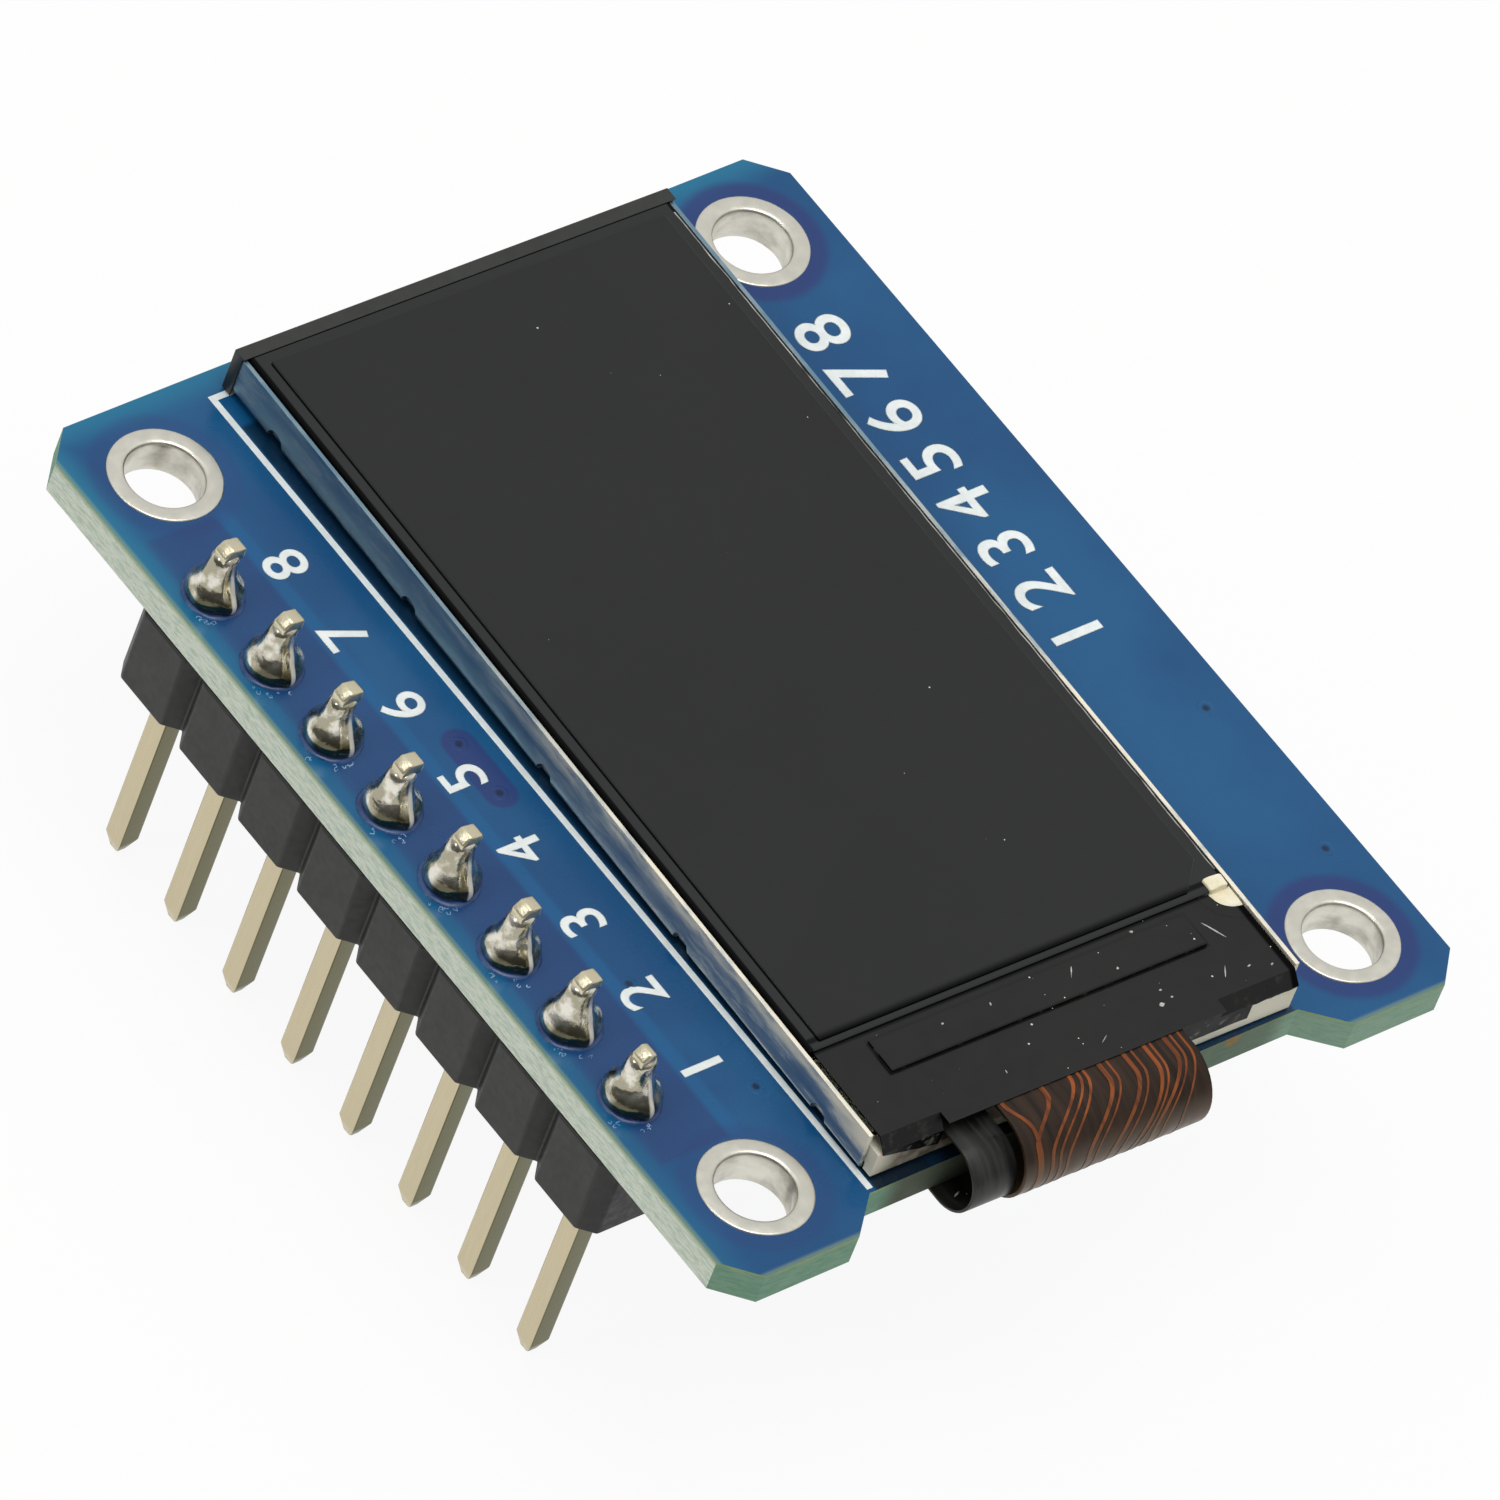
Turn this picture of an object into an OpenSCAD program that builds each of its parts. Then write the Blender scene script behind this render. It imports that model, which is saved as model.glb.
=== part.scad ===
// Small colour display module: a bonded panel on a breakout board with an eight-pin header.
// The origin is the centre of the four mounting holes, on the underside of the board.
// +Z points out of the screen, the header runs along the -X edge and the flex folds round the -Y edge.

/* [Board] */
// Width of the board, from the header edge to the opposite edge
board_w = 24; // [23:0.5:30]
// Length of the board, along the header row
board_l = 30; // [28:0.5:36]
// Thickness of the board
board_t = 1; // [0.8:0.1:1.6]
// Cut at each outer corner
corner_cut = 0.9; // [0.3:0.1:1.4]
// Width of the tab at each end of the flex notch
tab_w = 3.9; // [3:0.1:5]
// Depth of the flex notch
notch_d = 1; // [0.5:0.1:1.4]
// Run of the slope from a tab into the notch
notch_run = 1.1; // [0.5:0.1:2]

/* [Mounting holes] */
// Distance from a board edge to the nearest hole centre
hole_inset = 2.4; // [2:0.1:2.8]
// Finished diameter of a mounting hole
hole_d = 2.1; // [1.8:0.1:2.6]
// Diameter of the tinned rim round a mounting hole
hole_rim_d = 3.06; // [2.8:0.02:3.4]
// Thickness of the tinned copper on the board and in its holes
plating_t = 0.04; // [0.03:0.01:0.06]

/* [Header] */
// Spacing of the pins
pitch = 2.54; // [2.4:0.02:2.6]
// Distance from the header edge of the board to the pin row
row_inset = 1.2; // [1.1:0.1:2]
// Side of a square pin
pin_s = 0.64; // [0.5:0.02:0.68]
// Finished diameter of a pin hole
pin_hole_d = 1; // [0.98:0.02:1.1]
// Diameter of the tinned rim round a pin hole
pin_rim_d = 1.44; // [1.44:0.02:1.8]
// Height of the moulded strip
strip_h = 2.54; // [1.5:0.02:3]
// Width of the moulded strip
strip_w = 2.5; // [2.2:0.05:2.6]
// Corner cut between two positions of the strip
strip_cut = 0.42; // [0.2:0.02:0.6]
// Length of a pin below the strip
pin_below = 6.3; // [3:0.1:9]
// Length of the taper at the lower tip of a pin
tip_l = 0.5; // [0.2:0.05:1]
// Side of the flat at the lower tip of a pin
tip_s = 0.3; // [0.2:0.02:0.4]

/* [Clipped pin ends] */
// Height of the clipped end above the board
clip_h = 1.9; // [1.7:0.05:2.4]
// Height of the nipped part, down from the top
nip_h = 1.3; // [1.1:0.05:1.5]
// Depth of the nip on the display side
nip_d = 0.3; // [0.1:0.02:0.36]
// Width left by the nip, along the row
nip_w = 0.46; // [0.3:0.02:0.5]
// Height of the hooked end
hook_h = 0.5; // [0.4:0.05:0.7]
// Reach of the hooked end beyond the pin's side
hook_reach = 0.01; // [0:0.01:0.2]
// Rise of the hook's underside, out from the neck
hook_rise = 0.1; // [0:0.02:0.2]
// Fall of the clipped face, towards the display
clip_fall = 0.08; // [0:0.02:0.2]
// Corner cut of the clipped end, on the header side
clip_corner = 0.22; // [0.1:0.02:0.3]

/* [Solder] */
// Diameter of a header joint on the board
joint_d = 1.44; // [1.2:0.02:1.44]
// Diameter of a header joint at the top of its bell
joint_top_d = 0.94; // [0.92:0.01:1]
// Height of the bell of a header joint
joint_h = 0.8; // [0.6:0.05:0.9]
// Diameter of the solder that climbs the nipped pin, on the board
climb_d = 1.05; // [0.9:0.01:1.1]
// Diameter of the solder that climbs the nipped pin, at its top
climb_top_d = 0.66; // [0.66:0.01:0.8]
// Height of the solder that climbs the nipped pin
climb_h = 1.15; // [1:0.05:1.2]

/* [Display panel] */
// Width of the display over its steel tray
panel_w = 13.85; // [12.5:0.05:14.5]
// Distance from the floor of the flex notch to the display's lower end
panel_low_gap = 0.24; // [0:0.02:0.6]
// Distance from the upper edge of the board to the display's upper end
panel_high_gap = 0.76; // [0.6:0.02:1.6]
// Place of the display centre across the board
panel_x = 0.25; // [-0.5:0.05:0.6]
// Turn of the display on the board, as it was laid by hand
panel_turn = -1; // [-1.5:0.25:1.5]
// Thickness of the foam tape under the display
foam_t = 0.1; // [0.1:0.05:0.4]
// Distance from the tray's edge to the foam tape
foam_inset = 0.9; // [0.5:0.1:2]

/* [Steel tray] */
// Thickness of the steel sheet
tray_t = 0.12; // [0.1:0.01:0.16]
// Height of the tray's walls
tray_h = 1.25; // [1:0.05:1.3]
// Inner radius of the tray's bends
tray_bend = 0.1; // [0.05:0.01:0.15]
// Distance from the display's lower end to the open end of the tray
tray_set = 0.35; // [0.2:0.05:0.6]
// Distance from the display's ends to the first half-round relief at the foot of the long walls
relief_inset = 2.14; // [1.6:0.02:3]
// Radius of a relief
relief_r = 0.3; // [0.2:0.02:0.4]

/* [Backlight] */
// Gap between the tray and the moulded frame in it
frame_gap = 0.03; // [0.02:0.01:0.06]
// Width of the frame's long bars
frame_bar = 0.5; // [0.4:0.05:0.8]
// Width of the frame's upper bar
frame_top_bar = 0.6; // [0.4:0.05:1]
// Length of the frame's lamp block at the lower end
lamp_block = 2.6; // [2.4:0.1:2.7]
// Depth of the frame's end opening where the flexes leave
exit_d = 0.5; // [0.2:0.02:0.52]
// Width of the end opening beyond the display flex
exit_beyond = 2.45; // [1.4:0.05:3]
// Height of the frame's foot above the board, beside the display flex
foot_lift = 0.06; // [0.04:0.01:0.1]
// Thickness of the reflector film
reflector_t = 0.06; // [0.04:0.01:0.1]
// Thickness of the light guide
guide_t = 0.5; // [0.48:0.01:0.6]
// Thickness of the diffuser film
diffuser_t = 0.06; // [0.04:0.01:0.1]
// Thickness of each prism film
prism_t = 0.05; // [0.04:0.01:0.08]
// Gap between the films and the frame
film_gap = 0.05; // [0.02:0.01:0.1]
// Width of the lamp
lamp_w = 3; // [2:0.1:3.8]
// Depth of the lamp
lamp_d = 0.85; // [0.6:0.05:1]
// Height of the lamp
lamp_h = 0.4; // [0.3:0.02:0.42]
// Depth of the recess in the lamp's lit face
lamp_recess = 0.1; // [0.05:0.01:0.2]
// Wall round the recess in the lamp's lit face
lamp_wall = 0.08; // [0.05:0.01:0.1]
// Thickness of the rim tape under the glass
rim_tape_t = 0.04; // [0.03:0.01:0.06]
// Width of the rim tape
rim_tape_w = 0.7; // [0.5:0.05:0.9]

/* [Glass] */
// Gap between the glass and the tray's long walls
glass_gap = 0.03; // [0.02:0.01:0.1]
// Gap between the glass and the tray's end wall
glass_end_gap = 0.05; // [0.03:0.01:0.1]
// Distance from the display's lower end to the pixel glass
glass_set = 0.5; // [0.4:0.05:0.7]
// Thickness of each sheet of glass
glass_t = 0.18; // [0.15:0.01:0.22]
// Length of the pixel glass left bare by the colour glass
ledge_l = 2.65; // [2.6:0.05:3]
// Thickness of each polariser
polar_t = 0.08; // [0.06:0.01:0.12]
// Distance from the glass edge to a polariser, at the sides
polar_side = 0.44; // [0.3:0.02:0.5]
// Distance from the glass edge to the front polariser, at the driver end
polar_ledge = 0.2; // [0.1:0.02:0.25]
// Distance from the glass edge to the front polariser, at the upper end
polar_end = 0.5; // [0.45:0.05:0.8]
// Corner cut of the front polariser
polar_cut = 0.8; // [0.76:0.02:1]

/* [Driver ledge] */
// Length of the driver chip
chip_l = 10; // [8:0.1:11]
// Width of the driver chip
chip_w = 0.9; // [0.7:0.05:1]
// Thickness of the driver chip
chip_t = 0.16; // [0.12:0.01:0.18]
// Place of the driver chip across the panel
chip_x = -0.1; // [-0.4:0.05:0.4]
// Distance from the lower glass edge to the driver chip
chip_set = 1.36; // [1.3:0.02:1.45]
// Width of the conductive paste that ties the colour glass to ground
paste_w = 0.6; // [0.4:0.02:0.62]
// Reach of the paste over the colour glass and over the ledge
paste_reach = 0.24; // [0.15:0.01:0.3]
// Height of the paste above the colour glass
paste_h = 0.05; // [0.03:0.01:0.07]

/* [Black tape] */
// Thickness of the black tape
tape_t = 0.04; // [0.03:0.01:0.06]
// Gap between the tape and what stands up through or beside it
tape_gap = 0.03; // [0.02:0.01:0.05]
// Distance from the edge of the glass to the ledge tape and the rim tape
tape_side = 0.09; // [0.05:0.01:0.15]
// Distance from the display's lower end to the shoulders of the ledge tape
tape_shoulder = 0.25; // [0.1:0.01:0.4]
// Length of the ledge tape's tongue beyond the display's lower end
tape_over = 0.15; // [0.05:0.01:0.25]
// Width of the tongue beyond the display flex
tongue_beyond = 1.4; // [0.1:0.1:2]
// Corner cut of the ledge tape beside the paste
tape_cut = 0.95; // [0.9:0.05:1.1]
// Width of the end tape on the glass
end_tape_w = 0.36; // [0.3:0.02:0.4]
// Length of the end tape round the tray's corners
end_tape_return = 0.3; // [0.2:0.05:0.6]
// Height of the lower edge of the end tape above the board
end_tape_lift = 0.05; // [0.02:0.01:0.15]

/* [Flex tail] */
// Thickness of the flex
flex_t = 0.1; // [0.08:0.01:0.14]
// Width of the flex
flex_w = 6; // [5.5:0.1:6.5]
// Place of the flex across the panel
flex_x = -0.25; // [-0.4:0.05:0.3]
// Length of the flex bonded to the pixel glass
bond_l = 0.9; // [0.6:0.05:1.1]
// Distance that the flex runs on past the edge that it folds round
flex_reach = 0.4; // [0.2:0.05:0.8]
// Length of the flex under the board
flex_under = 4.6; // [3.5:0.1:6]
// Spacing of the flex fingers
finger_pitch = 0.45; // [0.4:0.01:0.48]
// Width of a flex finger pad
finger_w = 0.26; // [0.2:0.01:0.3]
// Length of a flex finger pad under the flex
finger_l = 1.2; // [0.8:0.1:1.6]
// Length of a flex finger pad beyond the end of the flex
finger_bare = 0.6; // [0.4:0.05:0.8]
// Thickness of the lamp flex
lamp_flex_t = 0.08; // [0.06:0.01:0.1]
// Length of the lamp flex in the frame, across the panel
lamp_flex_l = 7.6; // [6.5:0.1:8]
// Depth of the lamp flex in the frame
lamp_flex_d = 1.5; // [1.2:0.05:1.6]
// Width of the lamp flex tail
tail_w = 1.38; // [0.8:0.02:1.4]
// Gap between the lamp flex tail and the display flex
tail_gap = 0.06; // [0.05:0.01:0.4]
// Length of the lamp flex tail under the board
tail_under = 2.4; // [1.5:0.1:3.5]

/* [Underside parts] */
// Length of a three-lead package
sot_l = 2.9; // [2.6:0.05:3.1]
// Width of a three-lead package
sot_w = 1.3; // [1.2:0.05:1.5]
// Height of a three-lead package
sot_h = 1; // [0.8:0.05:1.2]
// Gap between a three-lead package and the board
sot_lift = 0.08; // [0.04:0.01:0.15]
// Width of a package lead
lead_w = 0.4; // [0.3:0.02:0.5]
// Thickness of a package lead
lead_t = 0.12; // [0.1:0.01:0.16]
// Reach of a package lead
lead_reach = 0.55; // [0.4:0.05:0.7]
// Length of a chip part
chip_part_l = 1.6; // [1.4:0.1:2]
// Width of a chip part
chip_part_w = 0.8; // [0.6:0.05:1.2]
// Height of a chip resistor
resistor_h = 0.45; // [0.35:0.05:0.6]
// Height of a chip capacitor
capacitor_h = 0.8; // [0.5:0.05:1]
// Length of the tinned end of a chip part
chip_part_end = 0.3; // [0.2:0.02:0.4]
// Margin of a solder pad round the lead or the end that sits on it
pad_margin = 0.12; // [0.05:0.01:0.2]
// Reach of the solder fillet in front of a lead or an end
fillet_reach = 0.3; // [0.15:0.01:0.4]
// Height of the solder fillet at the end of a chip part
fillet_h = 0.3; // [0.15:0.01:0.34]

/* [Hidden] */
$fn = 48;
// Overshoot of a cutter beyond the surface it cuts
cut = 0.5;

// Places on the board
pin_count = 8;
row_x = -board_w / 2 + row_inset;
hole_x = board_w / 2 - hole_inset;
hole_y = board_l / 2 - hole_inset;
// The first joint has a pin end that was clipped straight, and the others are hooked
hook_shares = [0.35, 1, 0.9, 1, 1.1, 1, 1, 1.1];
// Height steps of a joint's bell
joint_steps = 8;
// Places of the underside parts, chosen clear of the flex and the header
regulator_at = [4.6, 2.2];
transistor_at = [4.6, -5.2];
resistor_at = [[-2.4, -6.4], [-2.4, -4.2]];
capacitor_at = [[-1.2, 2.2], [-1.2, 5]];

// Heights in the panel, above the board
floor_z = foam_t + tray_t;
guide_z = floor_z + reflector_t;
diffuser_z = guide_z + guide_t;
lower_prism_z = diffuser_z + diffuser_t;
upper_prism_z = lower_prism_z + prism_t;
frame_z = upper_prism_z + prism_t;
rear_polar_z = frame_z + rim_tape_t;
pixel_z = rear_polar_z + polar_t;
colour_z = pixel_z + glass_t;
front_polar_z = colour_z + glass_t;
ledge_tape_z = colour_z + flex_t;
lamp_flex_z = frame_z - lamp_flex_t;
lamp_z = lamp_flex_z - lamp_h;

// Places in the panel, from its centre
panel_l = board_l - notch_d - panel_low_gap - panel_high_gap;
panel_y = (notch_d + panel_low_gap - panel_high_gap) / 2;
low_y = -panel_l / 2;
high_y = panel_l / 2;
tray_in_x = panel_w / 2 - tray_t;
frame_x = tray_in_x - frame_gap;
frame_high_y = high_y - tray_t - frame_gap;
window_x = frame_x - frame_bar;
window_low_y = low_y + lamp_block;
window_high_y = frame_high_y - frame_top_bar;
glass_x = tray_in_x - glass_gap;
glass_low_y = low_y + glass_set;
glass_high_y = high_y - tray_t - glass_end_gap;
colour_low_y = glass_low_y + ledge_l;
polar_x = glass_x - polar_side;
chip_low_y = glass_low_y + chip_set;
tape_x = glass_x - tape_side;
tape_low_y = low_y - tape_over;
tape_high_y = colour_low_y - tape_gap;
paste_x = tape_x - paste_w / 2;
flap_y = low_y - tape_gap;

relief_count = 5;
relief_pitch = (panel_l - 2 * relief_inset) / (relief_count - 1);

// The fold of the flexes, beyond the notched edge of the board
fold_y = low_y - panel_low_gap - flex_reach;
under_z = -board_t - plating_t;
tail_low_x = flex_x - flex_w / 2 - tail_gap - tail_w;
exit_low_x = tail_low_x - film_gap;
exit_high_x = flex_x + flex_w / 2 + exit_beyond;
finger_count = 13;

function pin_y(i) = (i - (pin_count - 1) / 2) * pitch;
function finger_x(i) = flex_x + (i - (finger_count - 1) / 2) * finger_pitch;

module at_holes() {
    for (sx = [-1, 1], sy = [-1, 1]) translate([sx * hole_x, sy * hole_y, 0]) children();
}

module at_pins() {
    for (i = [0 : pin_count - 1]) translate([row_x, pin_y(i), 0]) children();
}

// Puts its children in the panel's own frame, on top of the board
module on_panel() {
    translate([panel_x, panel_y, board_t]) rotate([0, 0, panel_turn]) children();
}

// A box given by its lowest and highest corners
module block(low, high) {
    translate(low) cube(high - low);
}

// A flat outline given in X and Z, made solid along Y between two places
module along_y(low, high) {
    translate([0, high, 0]) rotate([90, 0, 0]) linear_extrude(high - low) children();
}

// A flat outline given in Y and Z, made solid along X between two places
module along_x(low, high) {
    translate([low, 0, 0]) rotate([90, 0, 90]) linear_extrude(high - low) children();
}

module board_outline() {
    w = board_w / 2;
    l = board_l / 2;
    polygon([
        [-w + corner_cut, l], [-w, l - corner_cut], [-w, -l + corner_cut], [-w + corner_cut, -l],
        [-w + tab_w, -l], [-w + tab_w + notch_run, -l + notch_d],
        [w - tab_w - notch_run, -l + notch_d], [w - tab_w, -l],
        [w - corner_cut, -l], [w, -l + corner_cut], [w, l - corner_cut], [w - corner_cut, l]
    ]);
}

module circuit_board() {
    color("#1f4f8f")
    difference() {
        linear_extrude(board_t) board_outline();
        at_holes() translate([0, 0, -cut]) cylinder(d = hole_d + 2 * plating_t, h = board_t + 2 * cut);
        at_pins() translate([0, 0, -cut]) cylinder(d = pin_hole_d + 2 * plating_t, h = board_t + 2 * cut);
    }
}

// Plating that lines a hole and makes a rim on both faces of the board
module eyelet(bore_d, rim_d) {
    wall_r = bore_d / 2 + plating_t;
    rotate_extrude()
        polygon([
            [bore_d / 2, -plating_t], [rim_d / 2, -plating_t], [rim_d / 2, 0], [wall_r, 0],
            [wall_r, board_t], [rim_d / 2, board_t], [rim_d / 2, board_t + plating_t],
            [bore_d / 2, board_t + plating_t]
        ]);
}

module hole_plating() {
    color("gainsboro") at_holes() eyelet(hole_d, hole_rim_d);
}

module pin_hole_plating() {
    color("gainsboro") at_pins() eyelet(pin_hole_d, pin_rim_d);
}

// One long side of the header strip, with its corner cuts, from the first position to the last
function strip_side(s) = concat(
    [[s * (strip_w / 2 - strip_cut), pin_y(0) - pitch / 2]],
    [for (i = [0 : pin_count - 1]) each [
        [s * strip_w / 2, pin_y(i) - pitch / 2 + strip_cut],
        [s * strip_w / 2, pin_y(i) + pitch / 2 - strip_cut],
        [s * (strip_w / 2 - strip_cut), pin_y(i) + pitch / 2]
    ]]);

function reversed(points) = [for (i = [len(points) - 1 : -1 : 0]) points[i]];

module header_strip() {
    color("#2b2b2d")
    translate([row_x, 0, -plating_t - strip_h])
    difference() {
        linear_extrude(strip_h) polygon(concat(strip_side(1), reversed(strip_side(-1))));
        for (i = [0 : pin_count - 1])
            translate([-pin_s / 2, pin_y(i) - pin_s / 2, -cut]) cube([pin_s, pin_s, strip_h + 2 * cut]);
    }
}

// A square pin with a tapered lower tip; its upper end is nipped to a neck and hooked to the display
module pin_solid(hook) {
    s = pin_s / 2;
    low_z = -plating_t - strip_h - pin_below;
    top_z = board_t + clip_h;
    nip_z = top_z - nip_h;
    hook_z = top_z - hook_h;
    neck_x = s - nip_d;
    hook_x = neck_x + hook * (nip_d + hook_reach);
    intersection() {
        along_y(-s, s) polygon([
            [-tip_s / 2, low_z], [tip_s / 2, low_z], [s, low_z + tip_l], [s, nip_z],
            [neck_x, (nip_z + hook_z) / 2], [neck_x, hook_z], [hook_x, hook_z + hook_rise],
            [hook_x, top_z - clip_fall], [-s + clip_corner, top_z], [-s, top_z - clip_corner],
            [-s, low_z + tip_l]
        ]);
        along_x(-s - cut, s + cut) polygon([
            [-tip_s / 2, low_z], [tip_s / 2, low_z], [s, low_z + tip_l], [s, nip_z],
            [nip_w / 2, hook_z], [nip_w / 2, top_z], [-nip_w / 2, top_z], [-nip_w / 2, hook_z],
            [-s, nip_z], [-s, low_z + tip_l]
        ]);
    }
}

module header_pin(i) {
    color("#cfc59a") translate([row_x, pin_y(i), 0]) pin_solid(hook_shares[i]);
}

// Radius of a joint at a share of its height: upright at the board, then drawn in to the pin
function joint_r(share) = (joint_top_d + (joint_d - joint_top_d) * (1 + cos(180 * share)) / 2) / 2;

module solder_joint(i) {
    base_z = board_t + plating_t;
    color("silver")
    translate([row_x, pin_y(i), 0])
    difference() {
        union() {
            translate([0, 0, -plating_t]) cylinder(d = pin_hole_d, h = base_z + plating_t);
            translate([0, 0, base_z]) rotate_extrude() polygon(concat(
                [[0, 0]],
                [for (k = [0 : joint_steps]) [joint_r(k / joint_steps), joint_h * k / joint_steps]],
                [[0, joint_h]]));
            translate([-nip_d / 2, 0, base_z]) cylinder(d1 = climb_d, d2 = climb_top_d, h = climb_h);
        }
        pin_solid(hook_shares[i]);
    }
}

module foam_tape() {
    low = [-panel_w / 2 + foam_inset, low_y + lamp_block, 0];
    color("whitesmoke") on_panel() block(low, [-low[0], high_y - foam_inset, foam_t]);
}

// A block in X and Z with its two lower corners rounded
module channel_outline(w, h, r) {
    translate([-w / 2, r]) square([w, h - r]);
    translate([-w / 2 + r, 0]) square([w - 2 * r, h]);
    for (s = [-1, 1]) translate([s * (w / 2 - r), r]) circle(r);
}

// A block in Y and Z with one lower corner rounded, at its far end
module end_outline(low, high, h, r) {
    translate([low, r]) square([high - low, h - r]);
    translate([low, 0]) square([high - low - r, h]);
    translate([high - r, r]) circle(r);
}

// The tray's form, or the space in it: rounded along both long sides and at the upper end
module tray_form(x, low, high, h, r) {
    intersection() {
        along_y(low, high) channel_outline(2 * x, h, r);
        along_x(-x, x) end_outline(low, high, h, r);
    }
}

module steel_tray() {
    color("lightsteelblue")
    on_panel() translate([0, 0, foam_t])
    difference() {
        tray_form(panel_w / 2, low_y + tray_set, high_y, tray_h, tray_bend + tray_t);
        translate([0, 0, tray_t])
            tray_form(tray_in_x, low_y + tray_set - cut, high_y - tray_t, tray_h, tray_bend);
        for (s = [-1, 1], k = [0 : relief_count - 1])
            translate([s * panel_w / 2, (k - (relief_count - 1) / 2) * relief_pitch, tray_t])
                rotate([0, 90, 0]) cylinder(r = relief_r, h = 2 * (tray_t + tray_bend), center = true);
    }
}

// The frame's section, with its lower edges cut to clear the tray's bends
module frame_outline() {
    polygon([
        [-frame_x, floor_z + tray_bend], [-frame_x + tray_bend, floor_z],
        [frame_x - tray_bend, floor_z], [frame_x, floor_z + tray_bend],
        [frame_x, frame_z], [-frame_x, frame_z]
    ]);
}

module light_frame() {
    lamp_x = lamp_w / 2 + film_gap;
    lip_y = low_y + tray_set - frame_gap;
    color("ivory")
    on_panel()
    difference() {
        union() {
            intersection() {
                along_y(low_y, frame_high_y) frame_outline();
                along_x(-frame_x, frame_x) polygon([
                    [low_y, floor_z], [frame_high_y - tray_bend, floor_z],
                    [frame_high_y, floor_z + tray_bend], [frame_high_y, frame_z], [low_y, frame_z]
                ]);
            }
            block([-frame_x, low_y, foam_t], [frame_x, lip_y, floor_z + tray_bend]);
            block([flex_x + flex_w / 2, low_y, foot_lift], [frame_x, lip_y, floor_z + tray_bend]);
        }
        block([-window_x, window_low_y, 0], [window_x, window_high_y, frame_z + cut]);
        block([-lamp_x, window_low_y - lamp_d - film_gap, lamp_z - film_gap],
              [lamp_x, window_low_y + cut, frame_z + cut]);
        block([exit_low_x, window_low_y - lamp_flex_d - film_gap, lamp_flex_z],
              [tail_low_x + lamp_flex_l + film_gap, window_low_y + cut, frame_z + cut]);
        block([exit_low_x, low_y - cut, lamp_flex_z],
              [tail_low_x + tail_w + film_gap, window_low_y - lamp_flex_d, frame_z + cut]);
        block([exit_low_x, low_y - cut, frame_z - exit_d], [exit_high_x, low_y + tray_set, frame_z + cut]);
    }
}

// A film that fills the frame's window
module film(z, t) {
    x = window_x - film_gap;
    on_panel() block([-x, window_low_y + film_gap, z], [x, window_high_y - film_gap, z + t]);
}

module reflector_film() {
    color("white") film(floor_z, reflector_t);
}

module light_guide() {
    color("azure") film(guide_z, guide_t);
}

module diffuser_film() {
    color("snow") film(diffuser_z, diffuser_t);
}

module lower_prism_film() {
    color("ghostwhite") film(lower_prism_z, prism_t);
}

module upper_prism_film() {
    color("mintcream") film(upper_prism_z, prism_t);
}

module backlight_lamp() {
    face_y = window_low_y;
    color("lightyellow")
    on_panel()
    difference() {
        block([-lamp_w / 2, face_y - lamp_d, lamp_z], [lamp_w / 2, face_y, lamp_flex_z]);
        block([-lamp_w / 2 + lamp_wall, face_y - lamp_recess, lamp_z + lamp_wall],
              [lamp_w / 2 - lamp_wall, face_y + cut, lamp_flex_z - lamp_wall]);
    }
}

// A flat strip that runs out at one height, folds back in a half circle and runs in under the board
module folded_strip(low_x, w, t, start_y, start_z, end_y) {
    end_z = under_z - t;
    fold_r = (start_z - end_z) / 2;
    block([low_x, fold_y, start_z], [low_x + w, start_y, start_z + t]);
    block([low_x, fold_y, end_z], [low_x + w, end_y, end_z + t]);
    translate([low_x, fold_y, end_z + t / 2 + fold_r])
        rotate([0, 90, 0]) rotate([0, 0, 180]) rotate_extrude(angle = 180)
            translate([fold_r - t / 2, 0]) square([t, w]);
}

module lamp_flex() {
    tail_start_y = window_low_y - lamp_flex_d;
    color("#2a2826")
    on_panel() {
        folded_strip(tail_low_x, tail_w, lamp_flex_t, tail_start_y, lamp_flex_z, fold_y + tail_under);
        block([tail_low_x, tail_start_y, lamp_flex_z], [tail_low_x + lamp_flex_l, window_low_y, frame_z]);
    }
}

module rim_tape() {
    x = tape_x;
    low = colour_low_y;
    high = glass_high_y - tape_side;
    color("black")
    on_panel()
    difference() {
        block([-x, low, frame_z], [x, high, rear_polar_z]);
        block([-x + rim_tape_w, low + rim_tape_w, frame_z - cut],
              [x - rim_tape_w, high - rim_tape_w, rear_polar_z + cut]);
    }
}

module rear_polariser() {
    color("dimgray")
    on_panel() block([-polar_x, colour_low_y, rear_polar_z], [polar_x, glass_high_y - polar_side, pixel_z]);
}

module pixel_glass() {
    color("lightcyan") on_panel() block([-glass_x, glass_low_y, pixel_z], [glass_x, glass_high_y, colour_z]);
}

module colour_glass() {
    color("darkslategray")
    on_panel() block([-glass_x, colour_low_y, colour_z], [glass_x, glass_high_y, front_polar_z]);
}

module front_polariser() {
    low = colour_low_y + polar_ledge;
    high = glass_high_y - polar_end;
    color("#343635")
    on_panel() translate([0, 0, front_polar_z]) linear_extrude(polar_t) polygon([
        [-polar_x, low], [polar_x - polar_cut, low], [polar_x, low + polar_cut], [polar_x, high], [-polar_x, high]
    ]);
}

module driver_chip() {
    color("slategray")
    on_panel() block([chip_x - chip_l / 2, chip_low_y, colour_z],
                     [chip_x + chip_l / 2, chip_low_y + chip_w, colour_z + chip_t]);
}

// A dab that climbs from the ledge on to the colour glass
module ground_paste() {
    low_x = paste_x - paste_w / 2;
    high_x = paste_x + paste_w / 2;
    top_z = front_polar_z + paste_h;
    color("cornsilk")
    on_panel() {
        block([low_x, colour_low_y - paste_reach, colour_z], [high_x, colour_low_y, top_z]);
        block([low_x, colour_low_y, front_polar_z], [high_x, colour_low_y + paste_reach, top_z]);
    }
}

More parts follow.
